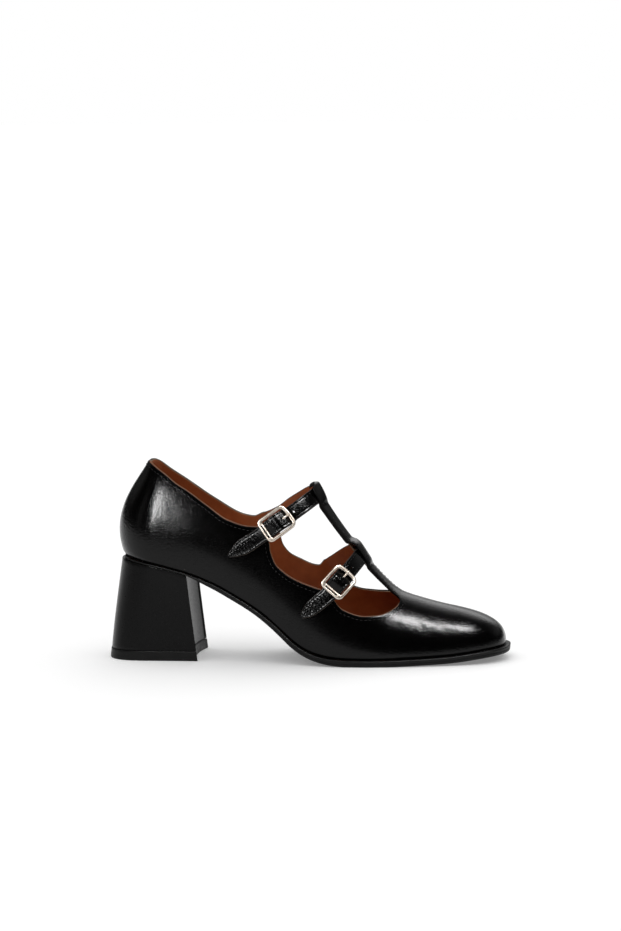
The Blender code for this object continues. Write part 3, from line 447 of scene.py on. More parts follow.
def last(side, s, t):
    # Outer face of the upper: t from the sole at 0 to the ridge at 1
    s, t = np.broadcast_arrays(np.asarray(s, float), np.asarray(t, float))
    x0, y0 = outline(side, s)
    dx = np.clip(x0, heelCentre, toeCentre) - x0
    reach = np.hypot(dx, y0)
    first, second, third = 3 * (1 - t) ** 2 * t, 3 * (1 - t) * t ** 2, t ** 3
    inward = (second * sectionSize("lean", x0) + third) * reach - first * sectionSize("bulge", x0)
    share = first * sectionSize("wall", x0) + second * sectionSize("rise", x0) + third
    x = x0 + dx / reach * inward
    y = y0 - y0 / reach * inward
    base = seatSize("height", x0) + gap
    return np.stack([x, y, base + share * (ridgeSize("height", x) - base)], -1)


def ridgeSlope(x):
    return (ridgeSize("height", x + 0.1) - ridgeSize("height", x - 0.1)) / 0.2


def facing(side, s, t):
    # Outward normal of the last; both sides share one along the ridge
    s, t = np.broadcast_arrays(np.asarray(s, float), np.asarray(t, float))
    step, crestFrom, highest = 0.004, 0.9, 0.985
    top = np.minimum(t, highest)
    along = last(side, np.clip(s + step, 0, 3), top) - last(side, np.clip(s - step, 0, 3), top)
    up = last(side, s, np.minimum(top + step, 1)) - last(side, s, np.maximum(top - step, 0))
    n = unit(np.cross(along, up)) * -side
    slope = ridgeSlope(last(side, s, t)[..., 0])
    crest = unit(np.stack([-slope, 0 * slope, 1 + 0 * slope], -1))
    blend = np.clip((t - crestFrom) / (1 - crestFrom), 0, 1)[..., None]
    return unit(n * (1 - blend) + crest * blend)


def shareAtHeight(side, s, height):
    # t at which the last comes up to a line
    t = np.linspace(0.02, 0.97, 600)
    p = last(side, s, t)
    over = p[:, 2] - height(p[:, 0])
    i = int(np.argmax(over > 0))
    return t[i - 1] + (t[i] - t[i - 1]) * over[i - 1] / (over[i - 1] - over[i])


def shareAtWidth(side, s, half):
    # t at which the last has narrowed to half a width
    t = np.linspace(0.5, 1, 400)
    return np.interp(-half, -np.abs(last(side, s, t)[:, 1]), t)


class StrapPath:
    # Frame of a strap: q over the foot from the ridge, + to the outer side; b across, o off the last
    def __init__(self, crossing, outerRows, innerRows, lowOuter, lowInner, pin, reach, crinkle,
                 sizes, cover):
        halves = []
        for side, rows, low in ((medial, innerRows, lowInner), (lateral, outerRows, lowOuter)):
            rows = np.array(sorted((crossing,) + rows, key=lambda row: row[1]), float)
            t = np.linspace(1, low, 160)
            x = np.full_like(t, crossing[0])
            for _ in range(60):    # settles on the line through the rows
                x = (x + np.interp(last(side, station(x), t)[:, 2], rows[:, 1], rows[:, 0])) / 2
            halves.append((last(side, station(x), t), facing(side, station(x), t)))
        self.line = np.concatenate([halves[0][0][::-1], halves[1][0][1:]])
        self.out = np.concatenate([halves[0][1][::-1], halves[1][1][1:]])
        run = runAlong(self.line)
        self.run = run - run[len(halves[0][0]) - 1]
        self.pin, self.reach, self.crinkle = pin, reach, crinkle
        self.width, self.lift, self.shift = (cutLine([(r[0], r[c]) for r in sizes]) for c in (1, 2, 3))
        self.start, self.tip = sizes[0][0], sizes[-1][0]
        self.cover, self.coverEnds = cutLine(cover), (cover[0][0], cover[-1][0])

    def at(self, curve, q):
        return np.stack([np.interp(q, self.run, curve[:, c]) for c in range(3)], -1)

    def axes(self, q):
        reach = 2.0
        along = unit(self.at(self.line, q + reach) - self.at(self.line, q - reach))
        out = self.at(self.out, q - reach) + self.at(self.out, q) + self.at(self.out, q + reach)
        out = unit(out - along * np.sum(out * along, axis=-1, keepdims=True))
        return along, np.cross(along, out), out

    def lay(self, q, b, o):
        q, b, o = np.broadcast_arrays(*(np.asarray(v, float) for v in (q, b, o)))
        along, across, out = self.axes(q)
        return self.at(self.line, q) + across * b[..., None] + out * o[..., None]


# Rows: a strap's line over the last by (x, z). Low: the share of the last that it goes down to.
# Crinkle: height of the pulled creases at its end.
# Sizes: place along it, width, lift off the last, shift of its middle line up the shoe.
# Cover, the T-bar over it: place along the bar, height of its face.
instepPin, instepReach = 40.4, 8.2    # the buckle's centre bar along the strap, and half the frame's length
vampPin, vampReach = 37.6, 6.9
strapThick, weaveRise, weaveWidth, weaveFade, weaveEnd = 2.0, 4.6, 11.3, 3.6, 15.0


def weaveRows(pin, reach, shift):
    # Over the centre bar at the pin and under both ends of the frame
    return ((pin - reach - weaveFade, 10, 1.2, 0), (pin - reach, weaveWidth, 1.5, 0),
            (pin, weaveWidth, weaveRise, 0), (pin + reach, weaveWidth, 1.6, 0),
            (pin + reach + weaveFade, 10, 1.6, shift / 2), (pin + weaveEnd, 10, 1.5, shift))


instepPath = StrapPath(
    crossing=(4.6, 102.2), outerRows=((-18.45, 85.75), (-47.8, 65.95), (-59.3, 58.3)),
    innerRows=((-12.9, 92.3), (-27.0, 82.6), (-36.0, 76.0)), lowOuter=0.14, lowInner=0.40,
    pin=instepPin, reach=instepReach, crinkle=0.13, sizes=(
        (-44.5, 14.0, -1.9, 0.2), (-40, 10.0, -1.7, 1.2), (-33, 7.9, -1.2, 1.6), (-22, 8.2, -0.3, 2.1),
        (-12, 9.0, gap, 2.0), (-6, 9.4, gap, 1.6), (6, 10, gap, 0), (24, 10, 0.8, 0),
        *weaveRows(instepPin, instepReach, 0.0),
        (62, 10.4, 0.9, 0.3), (65, 10.2, 0.7, 0.5), (68, 8.8, 0.6, 0.65), (71, 6.5, 0.6, 0.7),
        (73.5, 4.2, 0.6, 0.8), (75.6, 2.2, 0.6, 0.95)),
    cover=((-9.5, 4.4), (-6, 4.9), (-3.0, 4.6), (2.5, 3.7), (5.6, 3.0), (7.4, 2.3), (9.0, 1.7)))
vampPath = StrapPath(
    crossing=(31.4, 64.0), outerRows=((13.2, 43.1), (-1.7, 30.4), (-11.3, 22.2)),
    innerRows=((12.4, 50.4), (0.0, 42.0)), lowOuter=0.12, lowInner=0.34,
    pin=vampPin, reach=vampReach, crinkle=0.24, sizes=(
        (-39.5, 16.0, -1.9, 1.6), (-35, 14.6, -1.7, 2.1), (-29, 14.2, -1.2, 2.1), (-20, 13.8, -0.3, 1.9),
        (-10, 12.8, gap, 1.4), (0, 11.4, gap, 0.7), (8, 10, gap, 0), (21, 10, 0.8, 0),
        *weaveRows(vampPin, vampReach, 0.2),
        (56, 9.8, 1.1, 0.3), (59, 9.4, 0.9, 0.4), (61.5, 8.3, 0.8, 0.3), (64, 6.6, 0.7, 0.3),
        (66, 4.6, 0.7, 0.4), (67.8, 2.6, 0.7, 0.5)),
    cover=((-13, 1.7), (-10.8, 2.9), (-8.4, 4.2), (-6, 4.6), (-2, 4.3), (2.9, 3.7), (5.6, 3.3),
           (7.6, 2.6), (9.2, 1.7)))
straps = {"instep": instepPath, "vamp": vampPath}


def wing(path):
    # Edge of the inner quarter where a strap's root is sewn edge to edge
    half = float(path.width(path.start)) / 2
    edge = path.lay(path.start - gap, path.shift(path.start) + np.linspace(half, -half, 5), 0.0)
    return [(p[0], p[2]) for p in edge]


backRim = [(-102, 123.6), (-100, 123.2), (-98, 122.2)]
rims = {
    lateral: cutLine(
        backRim + [(-88.6, 116.1), (-82.1, 110.9), (-74.9, 106.4), (-62, 97.1), (-49.4, 88.5),
                   (-36.4, 84.7), (-30, 84.4), (-27, 83.6), (-23.3, 74.5), (-22.9, 70.5), (-15.5, 58.0),
                   (5.7, 47.7), (12, 45.8), (23, 34.4), (37, 30.4), (43.9, 30.6), (55, 34.8),
                   (56.6, 36.6)]),
    medial: cutLine(
        backRim + [(-90.4, 116.2), (-80.7, 109.5), (-61.6, 96.4), (-43.6, 86.9), (-38, 86.0)]
        + wing(instepPath)
        + [(-20.6, 68.4), (-19.2, 65.6), (-15.9, 61.7), (-9.8, 58.2), (-0.4, 54.1), (2, 53.8)]
        + wing(vampPath)
        + [(21, 41.2), (31.6, 38.3), (39.2, 38.1), (50, 38.9), (56.6, 38.2)])}


def movedIn(line, at, reach, count):
    # The line moved into the leather by reach, as a disc rolled along it would; open past the throat
    d = np.linspace(-reach, reach, count)
    spots = at[:, None] + d
    height = np.where(spots > throat, np.inf, line(np.minimum(spots, throat)))
    return (height - np.sqrt(reach ** 2 - d ** 2)).min(1)


def drawnIn(line, reach, proud=0.0):
    # The same for a rim, to be read at any place, or left proud of it
    at = np.arange(behindHeel, throat + reach, 0.02)
    low = movedIn(line, at, reach, 41) + proud
    return lambda x: np.interp(x, at, low)


def ridgeRun(x):
    line = np.linspace(-10, 90, 800)    # from behind the T-bar to the toe
    return np.interp(x, line, runAlong(np.column_stack([line, ridgeSize("height", line)])))


loopFade = 2.2


def barFaces(points):
    # Outer face of the T-bar off the last, how far it is up over a strap (0..1), and its run from the top
    x = points[..., 0]
    slope = ridgeSlope(x)
    fall = ridgeSize("height", x) - points[..., 2]
    run = ridgeRun(x) - fall * slope / np.hypot(1, slope)
    face = barSize("raise", np.minimum(x, throat))
    over = 0 * x
    for path in straps.values():
        place = run - ridgeRun(path.at(path.line, np.array(0.0))[0])
        under = (place > path.coverEnds[0]) & (place < path.coverEnds[1])
        cover = np.where(under, path.cover(place), 0)
        over = np.maximum(over, eased((cover - face) / loopFade))
        face = np.maximum(face, cover)
    return face, over, run - ridgeRun(barTop)


print("shape rules ready")


# Meshes
parts = bpy.data.collections.new("buckleShoeLooks")
bpy.context.scene.collection.children.link(parts)
weldDistance = 0.01


def shadeSmooth(mesh):
    mesh.polygons.foreach_set("use_smooth", np.ones(len(mesh.polygons), bool))


def makePiece(name, points, faces, looks, slots=None, weld=False):
    mesh = bpy.data.meshes.new(name)
    mesh.from_pydata(toFrame(points).tolist(), [], [list(map(int, f)) for f in faces])
    for look in looks:
        mesh.materials.append(finishes[look])
    if slots is not None:
        mesh.polygons.foreach_set("material_index", np.asarray(slots, np.int32))
    shape = bmesh.new()
    shape.from_mesh(mesh)
    if weld:
        bmesh.ops.remove_doubles(shape, verts=shape.verts, dist=weldDistance * mm)
    bmesh.ops.recalc_face_normals(shape, faces=shape.faces)
    shape.to_mesh(mesh)
    shape.free()
    shadeSmooth(mesh)
    piece = bpy.data.objects.new(name, mesh)
    parts.objects.link(piece)
    return piece


def settle(piece, slot, *nodes):
    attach(piece, "root")
    if nodes:
        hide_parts(*nodes)
    print(piece.name, len(piece.data.polygons), "faces")


def applyModifiers(piece):
    graph = bpy.context.evaluated_depsgraph_get()
    mesh = bpy.data.meshes.new_from_object(piece.evaluated_get(graph))
    piece.modifiers.clear()
    piece.data = mesh


def bevelEdges(piece, width, angle=50, segments=3):
    step = piece.modifiers.new("easedEdges", 'BEVEL')
    step.width = width * mm
    step.segments = segments
    step.limit_method = 'ANGLE'
    step.angle_limit = math.radians(angle)
    applyModifiers(piece)
    shadeSmooth(piece.data)


def ringFaces(rings, count, closed=False):
    faces = []
    for r in range(rings if closed else rings - 1):
        n = (r + 1) % rings
        for i in range(count):
            j = (i + 1) % count
            faces.append([r * count + i, r * count + j, n * count + j, n * count + i])
    return faces


def tube(loops, closed=False):
    rings, count = loops.shape[:2]
    faces = ringFaces(rings, count, closed)
    if not closed:
        faces.append(list(range(count)))
        faces.append([(rings - 1) * count + i for i in reversed(range(count))])
    return loops.reshape(-1, 3), faces


rollSteps = ((0.5, 0.13), (0.87, 0.5), (1.0, 1.0))    # out and down round a rolled edge, as shares


class Skin:
    # One sheet of leather with its thickness; free edges are rolled over
    def __init__(self):
        self.outer, self.inner, self.foot, self.index, self.faces = [], [], [], {}, []

    def grid(self, base, normal, high, low, footRow=False):
        outer, inner = base + normal * high[..., None], base + normal * low[..., None]
        rows, columns = base.shape[:2]
        ids = np.zeros((rows, columns), int)
        for i in range(rows):
            for j in range(columns):
                key = tuple(np.round(base[i, j], 2))
                if key not in self.index:
                    self.index[key] = len(self.outer)
                    self.outer.append(outer[i, j])
                    self.inner.append(inner[i, j])
                    self.foot.append(footRow and j == 0)
                ids[i, j] = self.index[key]
        for i in range(rows - 1):
            for j in range(columns - 1):
                ring = (ids[i, j], ids[i + 1, j], ids[i + 1, j + 1], ids[i, j + 1])
                ring = list(dict.fromkeys(ring))
                if len(ring) > 2:
                    self.faces.append(ring)

    def solid(self, rolled):
        # Points, faces, and each face's slot: 0 on the sheet, 1 on its rolled edge
        outer, inner = np.array(self.outer), np.array(self.inner)
        count = len(outer)
        thick = np.linalg.norm(outer - inner, axis=1)
        normal = (outer - inner) / np.maximum(thick, 1e-6)[:, None]
        uses, centre = {}, {}
        for face in self.faces:
            mid = outer[face].mean(0)
            for edge in zip(face, face[1:] + face[:1]):
                uses[edge] = uses.get(edge, 0) + 1
                centre[edge] = mid
        # neighbouring patches may wind either way, so an edge is free when it is used once in all
        free = [(a, b) for (a, b), n in uses.items() if n == 1 and (b, a) not in uses]
        push = np.zeros_like(outer)
        for a, b in free:
            out = unit(np.cross(outer[b] - outer[a], normal[a] + normal[b]))
            if np.dot(out, centre[(a, b)] - outer[a]) > 0:
                out = -out
            push[a] += out
            push[b] += out
        push = unit(push)
        rim = sorted({i for edge in free for i in edge if not self.foot[i]})
        place = {v: k for k, v in enumerate(rim)}
        r = np.minimum(rolled, thick[rim] / 2)[:, None]
        rows = [outer[rim] + push[rim] * r * e - normal[rim] * r * d for e, d in rollSteps]
        rows += [inner[rim] + push[rim] * r * e + normal[rim] * r * d for e, d in reversed(rollSteps)]

        def chain(v):
            return [v] + [2 * count + k * len(rim) + place[v] for k in range(len(rows))] + [v + count]

        faces = list(self.faces) + [[i + count for i in reversed(f)] for f in self.faces]
        slots = [0] * len(faces)
        for a, b in free:
            if self.foot[a] or self.foot[b]:
                faces.append([b, a, a + count, b + count])
                slots.append(0)
                continue
            one, two = chain(a), chain(b)
            for k in range(len(one) - 1):
                faces.append([two[k], one[k], one[k + 1], two[k + 1]])
                slots.append(1)
        return np.concatenate([outer, inner] + rows), faces, slots


def evenColumns(line, step, end):
    # Columns of the wall spaced evenly along its cut edge
    at = np.linspace(heelCentre, end, 12000)
    run = runAlong(np.column_stack([at, line(at)]))
    return np.interp(np.linspace(0, run[-1], int(run[-1] / step)), run, at)[1:-1]


# Upper: leather outside, lining inside, both from the last
upperLook = {"leather": 1.1, "lining": 0.7, "roll": 0.45, "step": 1.1, "wallRows": 30, "rowBias": 0.9,
             "topRows": 12, "heelFan": 30, "toeFan": 44, "vampStep": 1.4, "tuck": 0.5, "tuckHeight": 0.6,
             "barEnd": 2.4, "barEndRows": 14, "barStep": 0.6, "barFineFrom": 50, "barFineStep": 0.25,
             "barCorner": 2.0, "barRound": 0.8, "barDrop": 0.6, "barFold": 2.8, "barLip": 1.6,
             "lipFade": 0.5, "loopThick": 1.0, "liningReach": {lateral: 0.05, medial: 0.4},
             "liningProud": {lateral: 0.35, medial: 0.0}, "liningStep": 1.6, "liningGap": 0.02,
             "liningRoll": 0.3, "liningShort": 3.0}
# Creases: both ends on the leather (x, y, z), how wide and how deep
creaseLook = (
    ((61, -26, 30), (82, -32, 14), 3.4, 0.10), ((66, -24, 31), (74, -31, 22), 2.2, 0.07),
    ((73, -20, 31), (90, -29, 16), 2.8, 0.07), ((54, -30, 28), (63, -37, 14), 3.0, 0.08),
    ((62, 24, 32), (84, 31, 14), 3.2, 0.10), ((54, 29, 30), (66, 35, 13), 3.0, 0.08),
    ((44, -35, 25), (50, -40, 12), 2.8, 0.07), ((-46, -28, 78), (-20, -31, 52), 4.5, 0.06),
    ((-104, -20, 104), (-96, -24, 82), 3.0, 0.05), ((-88, -23, 102), (-80, -26, 88), 3.4, 0.05),
    ((-102, 21, 104), (-90, 25, 84), 3.5, 0.06), ((-30, -27, 76), (-36, -29, 66), 2.4, 0.08),
    ((57, -27, 32), (70, -34, 17), 1.7, 0.055), ((63, -25, 32), (77, -33, 16), 1.6, 0.05),
    ((69, -23, 31), (80, -30, 20), 1.5, 0.045), ((76, -20, 31), (87, -28, 19), 1.6, 0.045),
)


def creased(points):
    # Soft troughs, each with a low ridge on either side
    fall = np.zeros(points.shape[:-1])
    for a, b, width, depth in creaseLook:
        a, b = np.array(a, float), np.array(b, float)
        u = np.clip(((points - a) @ (b - a)) / np.dot(b - a, b - a), 0, 1)
        away = np.linalg.norm(points - a - u[..., None] * (b - a), axis=-1) / width
        ends = eased(np.minimum(u, 1 - u) * 4)    # fades over a quarter at either end
        fall -= depth * ends * (1 - 0.9 * away ** 2) * np.exp(-away ** 2)
    return fall


def wallPatch(side, edge, step, cfg):
    # Grid of the wall up to its cut edge, and the stations that run on over the vamp
    end = throat + cfg["roll"]
    columns = evenColumns(edge, step, end - 0.01)
    cut = np.concatenate([np.linspace(0, 1, cfg["heelFan"]), station(columns)])
    whole = np.concatenate([station(np.arange(end, toeCentre - 0.3, cfg["vampStep"])), [2.0],
                            2 + np.linspace(0, 1, cfg["toeFan"])[1:]])
    tops = [shareAtHeight(side, s, edge) for s in cut] + [split] * len(whole)
    t = np.array(tops)[:, None] * np.linspace(0, 1, cfg["wallRows"] + 1)[None] ** cfg["rowBias"]
    s = np.concatenate([cut, whole])[:, None] + 0 * t
    return s, t, whole


def barPatch(side, start, reach, whole, cfg):
    # Grid of the T-bar from its edge up to the ridge, run on over the vamp; then which rows are the bar's
    fine = cfg["barFineFrom"]
    xs = np.concatenate([start + cfg["barEnd"] * np.linspace(0, 1, cfg["barEndRows"]) ** 2,
                         np.arange(start + cfg["barEnd"] + 0.5, fine, cfg["barStep"]),
                         np.arange(fine, throat + cfg["roll"] - 0.01, cfg["barFineStep"])])
    half = movedIn(lambda x: barSize("half", x), xs, reach, 21)
    corner = np.clip(1 - (xs - barTop) / cfg["barCorner"], 0, 1)
    half = half - cfg["barCorner"] * (1 - np.sqrt(1 - corner ** 2)) * cfg["barRound"]
    bar = station(xs)
    edges = [shareAtWidth(side, s, h) for s, h in zip(bar, half)]
    t = np.array(edges + [split] * len(whole))[:, None]
    t = t + (1 - t) * np.linspace(0, 1, cfg["topRows"] + 1)[None]
    s = np.concatenate([bar, whole])[:, None] + 0 * t
    return s, t, (np.arange(len(s)) < len(bar))[:, None]


def upperSkin(outside, cfg):
    # The outer leather, or the lining behind it: a wall on either side, then the T-bar and the vamp's top
    skin = Skin()
    liningTop = -cfg["leather"] - cfg["liningGap"]
    for side in (lateral, medial):
        reach = cfg["roll"] if outside else cfg["liningReach"][side]
        proud = 0.0 if outside else cfg["liningProud"][side]
        step = cfg["step"] * (1 if outside else cfg["liningStep"])
        s, t, whole = wallPatch(side, drawnIn(rims[side], reach, proud), step, cfg)
        base, normal = last(side, s, t), facing(side, s, t)
        high, low = 0 * t + liningTop, 0 * t - wall
        if outside:
            height = base[..., 2] - seatSize("height", base[..., 0]) - gap
            high = creased(base) - cfg["tuck"] * np.exp(-(height / cfg["tuckHeight"]) ** 2)
            low = 0 * t - cfg["leather"]
        skin.grid(base, normal, high, low, footRow=True)

        short = 0.0 if outside else cfg["liningShort"]    # the bar's lining ends short of its edges
        s, t, free = barPatch(side, barTop + short, reach if outside else short, whole, cfg)
        base, normal = last(side, s, t), facing(side, s, t)
        face, over, fromTop = barFaces(base)
        over = over * np.clip((fromTop - cfg["barLip"]) / cfg["lipFade"], 0, 1)    # closed at its top end
        depth = barSize("depth", np.minimum(base[..., 0], throat))
        behind = depth - cfg["lining"] + (wall - depth) / 2
        if outside:
            fold = np.clip(fromTop / cfg["barFold"], 0, 1)
            fold = np.sqrt(np.maximum(1 - (1 - fold) ** 2, 0))
            high = np.where(free, (face + cfg["barDrop"]) * fold - cfg["barDrop"], 0) + creased(base)
            loop = np.maximum(high - cfg["loopThick"], -behind)
            low = np.where(free, loop * over - behind * (1 - over), -cfg["leather"])
        else:
            high = np.where(free, -behind * (1 - over) - cfg["liningGap"], liningTop)
            low = np.where(free, -depth, -wall)
        skin.grid(base, normal, high, low)
    return skin


def buildUpper(cfg):
    points, faces, slots = upperSkin(True, cfg).solid(cfg["roll"])
    piece = makePiece("upperLeather", points, faces, ["blackLeather", "edgePaint"], slots)
    settle(piece, "black_leather", "upper")
    points, faces, slots = upperSkin(False, cfg).solid(cfg["liningRoll"])
    piece = makePiece("upperLining", points, faces, ["liningLeather", "cutEdge"], slots)
    settle(piece, "tan_leather")


buildUpper(upperLook)


# Sole, insole and heel
soleLook = {"side": 130, "heelFan": 26, "toeFan": 40, "ease": 0.65, "easeShare": 0.3, "groove": 0.42}
# Sole edge from the top in: steps back from the ledge, and height as a share of the eased corner
soleEdge = ((-2.6, 'top', -0.2), (-1.2, 'top', 0.0), (-0.6, 'top', -0.15), (-0.15, 'top', -0.55),
            (0.0, 'top', -1.0), (-0.10, 'groove', 0.0), (-0.30, 'groove', -0.35), (-0.12, 'groove', -0.7),
            (-0.25, 'bottom', 1.0), (-0.4, 'bottom', 0.5), (-0.8, 'bottom', 0.1), (-1.3, 'bottom', 0.0))
insoleLook = {"thick": 2.0, "inset": 2.7, "across": 16, "cup": 0.27}


def soleStations(cfg):
    return np.concatenate([np.linspace(0, 1, cfg["heelFan"]), np.linspace(1, 2, cfg["side"])[1:],
                           2 + np.linspace(0, 1, cfg["toeFan"])[1:]])


def steepness(x):
    return np.hypot(1, seatSize("height", x + 0.5) - seatSize("height", x - 0.5))


def soleBottom(x):
    return np.maximum(seatSize("height", x) - soleSize("thick", x) * steepness(x), 0)


def closedOutline(stations, grow):
    reach = grow(outline(lateral, stations)[0])
    outer = np.stack(outline(lateral, stations, reach), -1)
    inner = np.stack(outline(medial, stations, reach), -1)
    return np.concatenate([outer, inner[-2:0:-1]])


def lidFaces(start, count):
    faces = []
    for i in range(count // 2):
        far, near = (count - i) % count, count - i - 1
        cap = list(dict.fromkeys((start + i, start + i + 1, start + near, start + far)))
        if len(cap) > 2:
            faces.append(cap)
    return faces


def buildSole(cfg):
    def ease(x):
        return np.minimum(cfg["ease"], cfg["easeShare"] * soleSize("thick", x))

    stations = soleStations(cfg)
    rings = []
    for step, level, rise in soleEdge:
        plan = closedOutline(stations, lambda x: soleSize("ledge", x) + step * ease(x) / cfg["ease"])
        top, bottom = seatSize("height", plan[:, 0]), soleBottom(plan[:, 0])
        height = {'top': top, 'bottom': bottom, 'groove': top - cfg["groove"] * (top - bottom)}[level]
        rings.append(np.column_stack([plan, height + rise * ease(plan[:, 0])]))
    count = len(rings[0])
    faces = ringFaces(len(rings), count) + lidFaces(0, count) + lidFaces((len(rings) - 1) * count, count)
    piece = makePiece("soleRubberShell", np.concatenate(rings), faces, ["soleRubber"])
    settle(piece, "black_sole", "outsole")


def buildInsole(cfg):
    stations = soleStations(soleLook)
    left, right = (np.stack(outline(side, stations, -cfg["inset"]), -1) for side in (lateral, medial))
    v = np.linspace(0, 1, cfg["across"] + 1)[None, :, None]
    plan = left[:, None] * (1 - v) + right[:, None] * v
    base = seatSize("height", plan[..., :1]) + gap
    top = base + cfg["thick"] + cfg["cup"] * (np.abs(2 * v - 1) ** 6 - 1)
    rows, cols = plan.shape[:2]
    points = np.concatenate([np.concatenate([plan, z], -1).reshape(-1, 3) for z in (top, base)])
    faces = []
    for i in range(rows - 1):
        for j in range(cols - 1):
            a = i * cols + j
            faces.append([a, a + 1, a + cols + 1, a + cols])
            faces.append([rows * cols + k for k in (a, a + cols, a + cols + 1, a + 1)])
    rim = [i * cols for i in range(rows)] + [(rows - 1) * cols + j for j in range(1, cols)]
    rim += [i * cols + cols - 1 for i in range(rows - 2, -1, -1)] + list(range(cols - 2, 0, -1))
    for a, b in zip(rim, rim[1:] + rim[:1]):
        faces.append([a, b, b + rows * cols, a + rows * cols])
    piece = makePiece("insoleSheet", points, faces, ["insoleLeather"], weld=True)
    settle(piece, "tan_leather", "insole")


heelSize = sizeTable("level front centre reach side frontSide square", (
    (0.0, -75.4, -94.0, 25.0, 25.2, 25.6, 2.05), (0.35, -73.4, -96.5, 25.6, 24.6, 25.0, 2.3),
    (0.7, -71.2, -99.0, 26.0, 24.4, 24.6, 2.5), (1.0, -69.4, -101.0, 25.9, 24.3, 24.6, 2.7)))
heelLook = {"lift": 6.1, "liftLevel": 0.88, "liftStep": 0.25, "hollow": 3.4, "side": 10, "fan": 26,
            "breast": 24, "levels": 26, "liftLevels": 5, "wrap": 0.92, "wrapEdge": 0.006, "wrapStep": 0.4,
            "ease": 0.7, "liftEase": 0.45}


def heelPlan(level, grow, wrapped, cfg):
    front, centre, reach, side, frontSide, square = (
        float(heelSize(k, level)) for k in ("front", "centre", "reach", "side", "frontSide", "square"))
    u = np.linspace(0, 1, cfg["side"], endpoint=False)
    sideX = front + grow + (centre - front - grow) * u
    sideY = frontSide + grow + (side - frontSide) * u
    angle = np.linspace(np.pi / 2, -np.pi / 2, 2 * cfg["fan"] + 1)
    power = 2 / square
    fanX = centre - (reach + grow) * np.maximum(np.cos(angle), 0) ** power
    fanY = np.sign(np.sin(angle)) * (side + grow) * np.abs(np.sin(angle)) ** power
    back = np.column_stack([np.concatenate([sideX, fanX, sideX[::-1]]),
                            np.concatenate([-sideY, -fanY, sideY[::-1]])])
    across = np.linspace(1, -1, cfg["breast"] + 1)[1:-1]
    if wrapped:    # the cover's edges are lapped round onto the breast
        step = cfg["wrap"] + cfg["wrapEdge"] * np.array([1, -1])
        across = np.sort(np.concatenate([across, step, -step]))[::-1]
    hollow = cfg["hollow"] * (1 - across ** 2) + cfg["wrapStep"] * wrapped * (np.abs(across) < cfg["wrap"])
    breast = np.column_stack([front + grow - hollow, across * (frontSide + grow)])
    return np.concatenate([back, breast])


def buildHeel(cfg):
    foot, liftTop = cfg["lift"] + gap, cfg["liftLevel"]
    seat = heelPlan(0.0, 0.0, True, cfg)[:, 0]
    top = soleBottom(seat) - gap * steepness(seat)
    rings = []
    for u in np.linspace(0, 1, cfg["levels"]):
        plan = heelPlan(u * liftTop, 0.0, True, cfg)
        rings.append(np.column_stack([plan, top + (foot - top) * u]))
    piece = makePiece("heelCover", *tube(np.stack(rings)), ["heelLeather"])
    bevelEdges(piece, cfg["ease"])
    settle(piece, "black_leather", "heel_block")
    rings = []
    for u in np.linspace(0, 1, cfg["liftLevels"]):
        plan = heelPlan(liftTop + (1 - liftTop) * u, cfg["liftStep"], False, cfg)
        rings.append(np.column_stack([plan, np.full(len(plan), cfg["lift"] * (1 - u))]))
    piece = makePiece("heelTopPiece", *tube(np.stack(rings)), ["soleRubber"])
    bevelEdges(piece, cfg["liftEase"])
    settle(piece, "black_sole", "heel_top_lift")


buildSole(soleLook)
buildInsole(insoleLook)
buildHeel(heelLook)


# Straps, tabs and buckles
strapLook = {"roll": 0.35, "ledge": 0.35, "crown": 0.12, "seam": 1.6, "seamWidth": 0.4, "seamDepth": 0.14,
             "root": 1.6, "rows": 190, "endRows": 150, "across": 41, "slot": 0.85, "slotNear": -0.25,
             "slotFar": -0.77, "slotOpen": -0.68, "slotRoof": 4.7, "openRoof": 9.0, "hole": 0.85,
             "holeStep": 13.0, "pulledFrom": 10.0, "pulledFade": 4.0, "rootSink": 0.3, "ledgeShare": 0.3,
             "rollShare": 0.6, "innerInset": 0.2}
buckleLook = {"halfWidth": 7.25, "corner": 2.0, "bar": 2.0, "endBar": 3.0, "thick": 1.7, "level": 4.8,
              "bow": 0.8, "slotWidth": 1.0, "slotHalf": 4.5, "pinRadius": 0.75, "pinLevel": 2.2,
              "pinTurn": 0.7, "prongRadius": 0.7, "prongPlay": 0.2, "tabWidth": 8.0, "tabLength": 14.0,
              "tabThick": 0.8, "tabPlay": 0.25, "tabEase": 0.3, "tabTurn": 2.2, "tabSlot": (-3.2, 0.0, 3.0)}
# The prong past its turn round the bar: share of the frame's half length, height
prongRun = ((-0.21, 3.4), (-0.36, 3.3), (-0.5, 3.8), (-0.625, 4.8), (-0.735, 5.7), (-0.875, 6.3),
            (-1.055, 6.6), (-1.15, 6.6))
# Section of the buckle's band: share of its half width out, share of its half thickness up
bandSection = ((1.0, -0.5), (1.0, 0.2), (0.9, 0.62), (0.62, 0.93), (0.25, 1.0), (-0.05, 1.0), (-0.3, 1.0),
               (-0.62, 0.93), (-0.9, 0.62), (-1.0, 0.2), (-1.0, -0.5), (-0.85, -0.85), (-0.4, -1.0),
               (0.4, -1.0), (0.85, -0.85))


def crinkles(path, q, b, cfg):
    # Cross creases where the strap end has been pulled through its buckle, finer towards the tip
    start, fade = path.pin + cfg["pulledFrom"], cfg["pulledFade"]
    pulled = np.clip((q - start) / fade, 0, 1)
    tipward = np.clip((q - start - fade / 2) / (path.tip - start - fade), 0, 1)
    waves = (np.sin(2.3 * q + 0.7 * b + 1.3 * np.sin(0.6 * q + 0.8 * b))
             + 0.6 * np.sin(3.4 * q - 1.5 * b + 0.9 * np.sin(0.7 * b) + 0.6)
             + tipward * 0.5 * np.sin(1.9 * q + 2.6 * b + 1.1 * np.sin(0.9 * q)))
    return path.crinkle * pulled * (0.4 + 0.6 * tipward) * waves / 1.6


